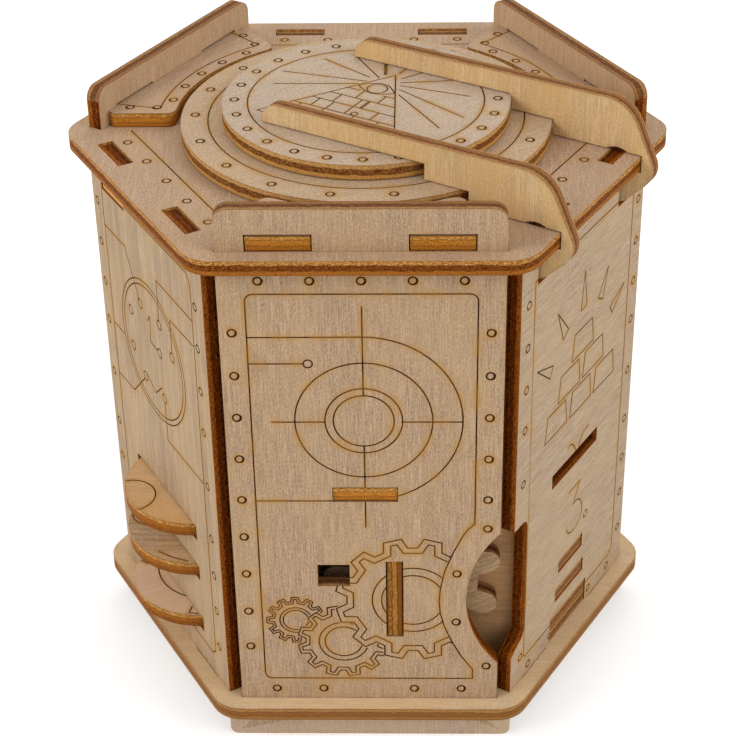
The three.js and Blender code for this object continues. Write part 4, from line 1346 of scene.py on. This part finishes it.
@dataclass
class LeftFrontWork:
    """The engraving of the left front wall: a big circle with wires and their end rings."""

    centre: Point = (-0.8, 92.4)
    radii: tuple[float, float] = (20.5, 19.0)
    pegs: tuple[Point, ...] = ((-7.3, 104.1), (-14.5, 98.5), (5.1, 104), (-15, 86.8), (3.9, 94.5),
                               (12.4, 97.9), (-7.8, 80.8), (4.7, 80.6))

    def draw(self) -> Drawing:
        """Returns the drawing.

        Returns:
            The drawing.
        """
        art = Drawing()
        art.line((-28.6, 5), (-28.6, 130.5), (26, 130.5), (28, 128.3), (27.4, 9), (25.4, 7.1), (-26, 7.1))
        art.rivets(*[(30.1, z) for z in (122.7, 110.4, 97.6, 84.8, 67.6, 50.3, 37.8, 25.4, 12.6)])
        art.rivets(*[(-32.4, z) for z in (123.6, 111, 98.4, 86, 68.7, 51.6, 39.3, 26, 12.6)])
        for radius in self.radii:
            art.ring(self.centre, radius)
        for peg in self.pegs:
            art.ring(peg, 1.35)
        art.line((-28.6, 117.9), (-15.1, 117.9), (-8, 105.5))
        art.line((5.2, 105.4), (5.5, 117.7), (27.7, 117.4))
        art.line((12.6, 99.3), (12.8, 109.6), (27.5, 109.8)).line((-28.6, 87.2), (-21.2, 87.2))
        art.line((-3, 101), (-1.2, 103.4), (-1.9, 95), (2.6, 94.8))
        art.line((-28.6, 70.4), (-17.5, 70.7), (-8.6, 79.6))
        art.line((-6.6, 82.1), (-1.2, 79.1), (3.4, 83.3)).line((4.7, 79.2), (4.7, 66.9), (27.3, 66.9))
        return art


@dataclass
class DiscWork:
    """The engraving of the two discs: rings of rivets, and a pyramid with rays on the upper one."""

    apex: Point = (7.7, 14.4)
    sun: Point = (4.9, 9.4)
    courses: tuple[float, ...] = (12.6, 17.2, 21.9, 26.6, 31.3, 36.0)
    rays: tuple[tuple[float, float, float], ...] = (
        (179.5, 7.2, 29.6), (163.6, 5.2, 28.9), (136.6, 5.7, 22.8), (114.7, 3.8, 20.5), (58, 7.2, 19),
        (33, 5.5, 23), (5, 4.3, 18), (-20, 4.3, 24), (-45.2, 5.5, 29.1), (-62, 7.9, 30.4))

    def lower(self) -> Drawing:
        """Returns the lower disc's drawing.

        Returns:
            The drawing.
        """
        art = Drawing().ring((0, 0), 41.8)
        return art.rivets(*[arc((0, 0), 45.3, 20 * i - 80, 0, 2)[0] for i in range(18)], burnt_and_shaded=True)

    def upper(self) -> Drawing:
        """Returns the upper disc's drawing.

        Returns:
            The drawing.
        """
        art = Drawing().ring((0, 0), 31.2)
        art.rivets(*[arc((0, 0), 34.7, 15 * i - 90, 0, 2)[0] for i in range(24)], burnt_and_shaded=True)
        for angle, start, end in self.rays:
            art.line(*[arc(self.sun, radius, angle, 0, 2)[0] for radius in (start, end)])
        art.line((5.0, 15.2), (5.0, 21.3), half_width=0.4)
        along, down = side_out(1), -side_along(1)

        def inside(side: float, depth: float) -> Point:
            """Returns a point of the pyramid by its place along a course and its depth under the apex."""
            return (self.apex[0] + along.x * side + down.x * depth,
                    self.apex[1] + along.y * side + down.y * depth)

        slope = math.tan(math.radians(30))
        base = self.courses[-1]
        art.loop(inside(0, 0), inside(-slope * base, base), inside(slope * base, base))
        for depth in self.courses[:-1]:
            reach = slope * depth
            if depth == self.courses[0]:
                art.line(inside(-reach, depth), inside(-3.6, depth))
                art.line(inside(3.6, depth), inside(reach, depth))
            else:
                art.line(inside(-reach, depth), inside(reach, depth))
        uprights = ((-2.2, 4.6), (-6.4, 2.0), (-10.2, -5.7, 0.1, 7.9), (-13, -6, 3.2, 10.6),
                    (-15.5, -9, 1.2, 8, 14))
        for (top, low), places in zip(zip(self.courses, self.courses[1:]), uprights):
            for place in places:
                art.line(inside(place, top), inside(place, low))
        art.line(inside(0.1, 17.2), inside(0.1, 21.9)).line(inside(2.5, 17.2), inside(2.5, 21.9))
        art.ring(inside(0, 9.6), 2.75).ring(inside(2.5, 25.4), 0.9)
        for rise in (3.7, -2.8):
            art.line(*[inside(side, 9.9 - rise * math.cos(side / 5.6 * math.pi / 2))
                       for side in np.linspace(-5.6, 5.6, 11)])
        return art


def lid_work() -> Drawing:
    """Returns the lid's drawing: a border and rivets beside the three sides without a key.

    Returns:
        The drawing.
    """
    art = Drawing()
    for side in (1, 3, 5):
        out, along = side_out(side), side_along(side)

        def at(across: float, away: float) -> Point:
            """Returns a point of the lid by its place along the side and its distance out."""
            return (along.x * across + out.x * away, along.y * across + out.y * away)

        art.line(at(-31, 54.4), at(31, 54.4))
        art.rivets(*[at(x, 58.0) for x in (-25, -12.5, 0, 12.5, 25) if side != 1 or abs(x) < 20])
    return art


def key_work() -> Drawing:
    """Returns the drawing of an arc key: its border and rivets, measured from the lid's middle.

    Returns:
        The drawing.
    """
    art = Drawing()
    ring = arc((0, 0), 55.3, -90 - 25.3, -90 + 25.3, 18)
    art.line((ring[0][0] - 3.3, -61.6), *ring, (ring[-1][0] + 3.3, -61.6))
    art.rivets(*[arc((0, 0), 53.1, -90 + angle, 0, 2)[0] for angle in (-19.2, -9.6, 0, 9.6, 19.2)],
               burnt_and_shaded=True)
    art.rivets(*[(x * sign, y) for sign in (-1, 1) for x, y in ((26.9, -57.6), (23.5, -51.2))], burnt_and_shaded=True)
    return art


def plain_wall_work(high: float = 130.4, edge: float = 28.4) -> Drawing:
    """Returns the drawing of a wall that only has a border and rivets.

    Args:
        high: where the border's top is.
        edge: how far out its sides are.

    Returns:
        The drawing.
    """
    art = Drawing().frame_line(-edge, edge, 7.1, high)
    heights = (119.2, 106.6, 94, 81.2, 68.2, 56.1, 43.7, 30.9, 18.6)
    art.rivets(*[(x, z) for x in (-32, 32) for z in heights])
    return art.rivets(*[(x, z) for z in (3.4, 134) for x in (-25, -12.5, 0, 12.5, 25)])


def turned(path: Path, degrees: float) -> Path:
    """Returns a path turned about the middle.

    Args:
        path: the path.
        degrees: how far it is turned, anticlockwise.

    Returns:
        The turned path.
    """
    c, s = math.cos(math.radians(degrees)), math.sin(math.radians(degrees))
    return [(x * c - y * s, x * s + y * c) for x, y in path]


def dial_work(kind: int) -> Drawing:
    """Returns a dial's drawing, which comes again at equal steps round its middle.

    Args:
        kind: 0 for the top dial, 1 for the middle one, 2 for the bottom one.

    Returns:
        The drawing.
    """
    art = Drawing()
    if kind == 0:
        for turn in (0, 120, 240):
            art.line(*turned(arc((-2.7, -19.4), 7.2, 172, -2), turn))
    elif kind == 1:
        for turn in (0, 180):
            art.line(*turned([(-13.1, -14.2), (-12.3, -15.3), (-10.9, -16.1), (-9, -16.3), (-7.2, -15.8),
                              (-5.6, -14.8), (-4.5, -13.7)], turn))
            art.line(*turned([(7.8, -16.2), (10.3, -14.9), (12.6, -13.5), (15.7, -11)], turn))
    else:
        for turn in (0, 120, 240):
            art.line(*turned(arc((-1, 3.3), 15.7, -116, -55), turn))
            art.line(*turned([(-13.2, -14), (-10.8, -13)], turn))
            art.line(*turned([(13.3, -9.9), (15.3, -11.7), (17.1, -9.7)], turn))
    return art


# Sub-assemblies


@dataclass
class Carcass:
    """The box that stands still: base, walls, lid, keys and inner boards."""

    shop: Paintshop
    body: str = "carcass"
    side_names: tuple[str, ...] = ("front", "right_front", "right_rear", "rear", "left_rear", "left_front")

    def walls(self) -> list[Board]:
        """Returns the six walls.

        Returns:
            The boards, from the front one anticlockwise.
        """
        drawings = (FrontWork().draw(), RightFrontWork().draw(), plain_wall_work(), plain_wall_work(),
                    plain_wall_work(), LeftFrontWork().draw())
        faces = (FRONT_TAUPE, SCRATCHED, TAUPE, TAUPE, TAUPE, STREAKED)
        # The two front walls' edges and every wall's upright sides get the dark edge that is partly painted
        # shade; each wall's part below the base gets the paler face that is painted light
        edges = (RAIL_EDGE, DEEP_CHAR_AND_SHADE, RAIL_EDGE, RAIL_EDGE, RAIL_EDGE, DEEP_CHAR_AND_SHADE)
        grains = (Grain.UP, Grain.ACROSS, Grain.UP, Grain.UP, Grain.UP, Grain.UP)
        return [Board(f"{name}_wall", standing(side), faces[side], edges[side], grains[side],
                      drawing=drawings[side], flank=DEEP_CHAR_AND_SHADE, foot=FOOT_PAINTED_LIGHT)
                for side, name in enumerate(self.side_names)]

    def plates(self) -> list[Board]:
        """Returns the base, the lid and the three keys on it.

        Returns:
            The boards.
        """
        keys = [Board(f"arc_key_{self.side_names[side]}", lying(side=side), LID_GREY, BRIGHT, Grain.ACROSS,
                      drawing=key_work()) for side in (0, 2, 4)]
        return [Board("base_plate", lying(), SAND, BASE_EDGE, Grain.ACROSS),
                Board("lid_plate", lying(), LID_GREY, LID_EDGE, Grain.UP, drawing=lid_work())] + keys

    def inner(self) -> list[Board]:
        """Returns the boards inside, whose tabs show in the walls.

        Returns:
            The boards.
        """
        # The corner shelf's tab edge is pale as painted light against the shade under the lid
        edges = {"middle_shelf": BRIGHT, "corner_shelf": TAN_EDGE_PAINTED_LIGHT}
        edges |= {f"rack_{kind}_{level}": RACK_EDGE
                  for kind in ("shelf", "block") for level in ("upper", "lower")}
        slot = "inner_board"
        boards = [Board(name, lying(), PLAIN, edge, Grain.ACROSS, slot) for name, edge in edges.items()]
        boards += [Board(f"dial_spacer_{i}", lying(), PLAIN, GOLDEN, Grain.UP, slot) for i in range(1, 5)]
        return boards + [
            Board("rack_back", standing(1), PLAIN, GOLDEN, Grain.UP, slot),
            Board("wheel_back_board", standing(0), BEHIND, GOLDEN, Grain.ACROSS, slot),
            Board("wheel_hub", standing(0), PLAIN, GOLDEN, Grain.UP, slot),
            Board("bridge_key", edge_on(0), PLAIN, BRIDGE_EDGE, Grain.UP)]

    def build(self) -> list[bpy.types.Object]:
        """Builds and dresses every still board."""
        return [board.build(self.shop, self.body) for board in self.walls() + self.plates() + self.inner()]


@dataclass
class Discs:
    """The two stacked discs on the lid."""

    shop: Paintshop

    def build(self) -> list[bpy.types.Object]:
        """Builds and dresses the discs and the spindle's collar.

        Returns:
            The finished pieces.
        """
        work = DiscWork()
        lower = Board("disc_lower", lying(), DISC_SAND, GOLDEN, Grain.SLANTED, drawing=work.lower())
        upper = Board("disc_upper", lying(), DISC_GREY, GOLDEN, Grain.SLANTED, drawing=work.upper())
        collar = Board("spindle_collar", lying(), PLAIN, GOLDEN, Grain.UP, "inner_board")
        return [lower.build(self.shop, "lower_disc"), upper.build(self.shop, "upper_disc"),
                collar.build(self.shop, "upper_disc")]


@dataclass
class DrawArms:
    """The two hooked arms and the board that ties them."""

    shop: Paintshop
    body: str = "draw_arms"

    def build(self) -> list[bpy.types.Object]:
        """Builds and dresses the arms and their tie.

        Returns:
            The finished pieces.
        """
        arms = [Board(name, edge_on(1), PALE, ARM_EDGE, Grain.UP, "arm_board")
                for name in ("arm_front", "arm_rear")]
        tie = Board("arm_tie", standing(1), PLAIN, GOLDEN, Grain.ACROSS, "inner_board")
        return [board.build(self.shop, self.body) for board in arms + [tie]]


@dataclass
class Dials:
    """The three finger dials in the left front wall."""

    shop: Paintshop
    axis: Vector = Vector((-0.048324, -0.0279, 0))

    def build(self) -> list[bpy.types.Object]:
        """Builds and dresses the dials.

        Returns:
            The finished pieces.
        """
        pieces = []
        # The dials' faces are their own tones lifted as painted light against the shade of the dials and
        # wall above
        looks = (("top", TAN_PAINTED_LIGHT, Grain.ALONG_FRONT), ("middle", BROWN_PAINTED_LIGHT, Grain.ALONG_FRONT),
                 ("bottom", MAUVE_PAINTED_LIGHT, Grain.UP))
        for kind, (name, face, grain) in enumerate(looks):
            board = Board(f"dial_{name}", lying(self.axis, 5), face, DIAL_EDGE, grain,
                          drawing=dial_work(kind))
            pieces.append(board.build(self.shop, f"{name}_dial"))
        return pieces


@dataclass
class ThumbWheel:
    """The lobed wheel behind the front wall and its collar."""

    shop: Paintshop
    body: str = "wheel"

    def build(self) -> list[bpy.types.Object]:
        """Builds and dresses the wheel and its collar.

        Returns:
            The finished pieces.
        """
        wheel = Board("thumb_wheel", standing(0), WHEEL, WHEEL_EDGE, Grain.SLANTED)
        collar = Board("thumb_wheel_collar", standing(0), PLAIN, GOLDEN, Grain.UP, "inner_board")
        return [wheel.build(self.shop, self.body), collar.build(self.shop, self.body)]


@dataclass
class Rods:
    """The two turned rods, which keep the frame's own shape."""

    shop: Paintshop
    nodes: tuple[str, ...] = ("disc_spindle", "dial_spindle")

    def dress(self) -> None:
        """Gives each rod its wood."""
        for name in self.nodes:
            rod = frame["nodes"][name]
            rod.data.materials.clear()
            rod.data.materials.append(self.shop.dowel())
            log.info("%s: dressed", name)


@dataclass
class Studio:
    """The pale floor, the soft lamps and the camera at the photograph's angle."""

    eye: Vector = Vector((0.014509, -0.483373, 0.395238))
    yaw: float = -1.8075
    pitch: float = 33.1089
    roll: float = -1.0532
    lens: float = 98.674
    sensor: float = 36
    aim: Vector = Vector((0, 0, 0.08))
    lamps: tuple[tuple[str, tuple[float, float, float], float, float], ...] = (
        ("key", (-1.15, -0.6, 0.83), 0.9, 8.2),
        ("fill", (1.15, -0.6, 0.83), 0.9, 7.2),
        ("back", (0.1, 0.95, 1.1), 0.9, 3.2))

    def camera(self) -> bpy.types.Object:
        """Returns the camera that gives the photograph's view.

        Returns:
            The camera.
        """
        yaw, pitch, roll = (math.radians(a) for a in (self.yaw, self.pitch, self.roll))
        ahead = Vector((math.sin(yaw) * math.cos(pitch), math.cos(yaw) * math.cos(pitch), -math.sin(pitch)))
        level = Vector((math.cos(yaw), -math.sin(yaw), 0))
        above = level.cross(ahead)
        right = level * math.cos(roll) + above * math.sin(roll)
        top = above * math.cos(roll) - level * math.sin(roll)
        lens = bpy.data.cameras.new("camera")
        lens.lens, lens.sensor_width = self.lens, self.sensor
        camera = placed("camera", lens)
        turned_to = Matrix((right, top, -ahead)).transposed().to_4x4()
        camera.matrix_world = Matrix.Translation(self.eye) @ turned_to
        bpy.context.scene.camera = camera
        return camera

    def floor(self) -> bpy.types.Object:
        """Returns the floor, which looks white but keeps the object's shadow.

        Returns:
            The floor.
        """
        mesh = bmesh.new()
        bmesh.ops.create_grid(mesh, x_segments=1, y_segments=1, size=6)
        data = bpy.data.meshes.new("floor")
        mesh.to_mesh(data)
        mesh.free()
        floor = placed("floor", data)
        material = bpy.data.materials.new("floor_white")
        material.use_nodes = True
        nodes = Nodes(material.node_tree)
        shader = material.node_tree.nodes["Principled BSDF"]
        shader.inputs["Base Color"].default_value = (0.82, 0.82, 0.82, 1)
        shader.inputs["Roughness"].default_value = 0.9
        shader.inputs["Specular IOR Level"].default_value = 0.0
        glow = nodes.add("ShaderNodeEmission")
        seen = nodes.seen_directly()
        nodes.feed(glow.inputs["Strength"], nodes.maths("MULTIPLY", seen, 0.4))
        both = nodes.add("ShaderNodeAddShader")
        nodes.feed(both.inputs[0], shader.outputs[0])
        nodes.feed(both.inputs[1], glow.outputs[0])
        nodes.feed(material.node_tree.nodes["Material Output"].inputs["Surface"], both.outputs[0])
        data.materials.append(material)
        return floor

    def light(self) -> None:
        """Adds the lamps and the world's soft light."""
        for name, place, size, power in self.lamps:
            lamp = bpy.data.lights.new(name, "AREA")
            lamp.shape, lamp.size, lamp.energy = "DISK", size, power
            holder = placed(name, lamp)
            holder.location = place
            holder.rotation_euler = (self.aim - Vector(place)).to_track_quat("-Z", "Y").to_euler()
        world = bpy.data.worlds.new("studio")
        bpy.context.scene.world = world
        world.use_nodes = True
        nodes = Nodes(world.node_tree)
        sky = world.node_tree.nodes["Background"]
        seen = nodes.seen_directly()
        nodes.feed(sky.inputs["Color"], (1.0, 1.0, 1.0, 1))
        nodes.feed(sky.inputs["Strength"], nodes.span(seen, 0, 1, 0.6, 1.0))
        bpy.context.scene.view_settings.view_transform = "Standard"


def main() -> None:
    """Builds the dressed puzzle box and its studio."""
    logging.basicConfig(level=logging.INFO, format="%(name)s: %(message)s")
    shop = Paintshop()
    Carcass(shop).build()
    Discs(shop).build()
    DrawArms(shop).build()
    Dials(shop).build()
    ThumbWheel(shop).build()
    Rods(shop).dress()
    studio = Studio()
    studio.camera()
    studio.floor()
    studio.light()


if __name__ == "__main__":
    main()
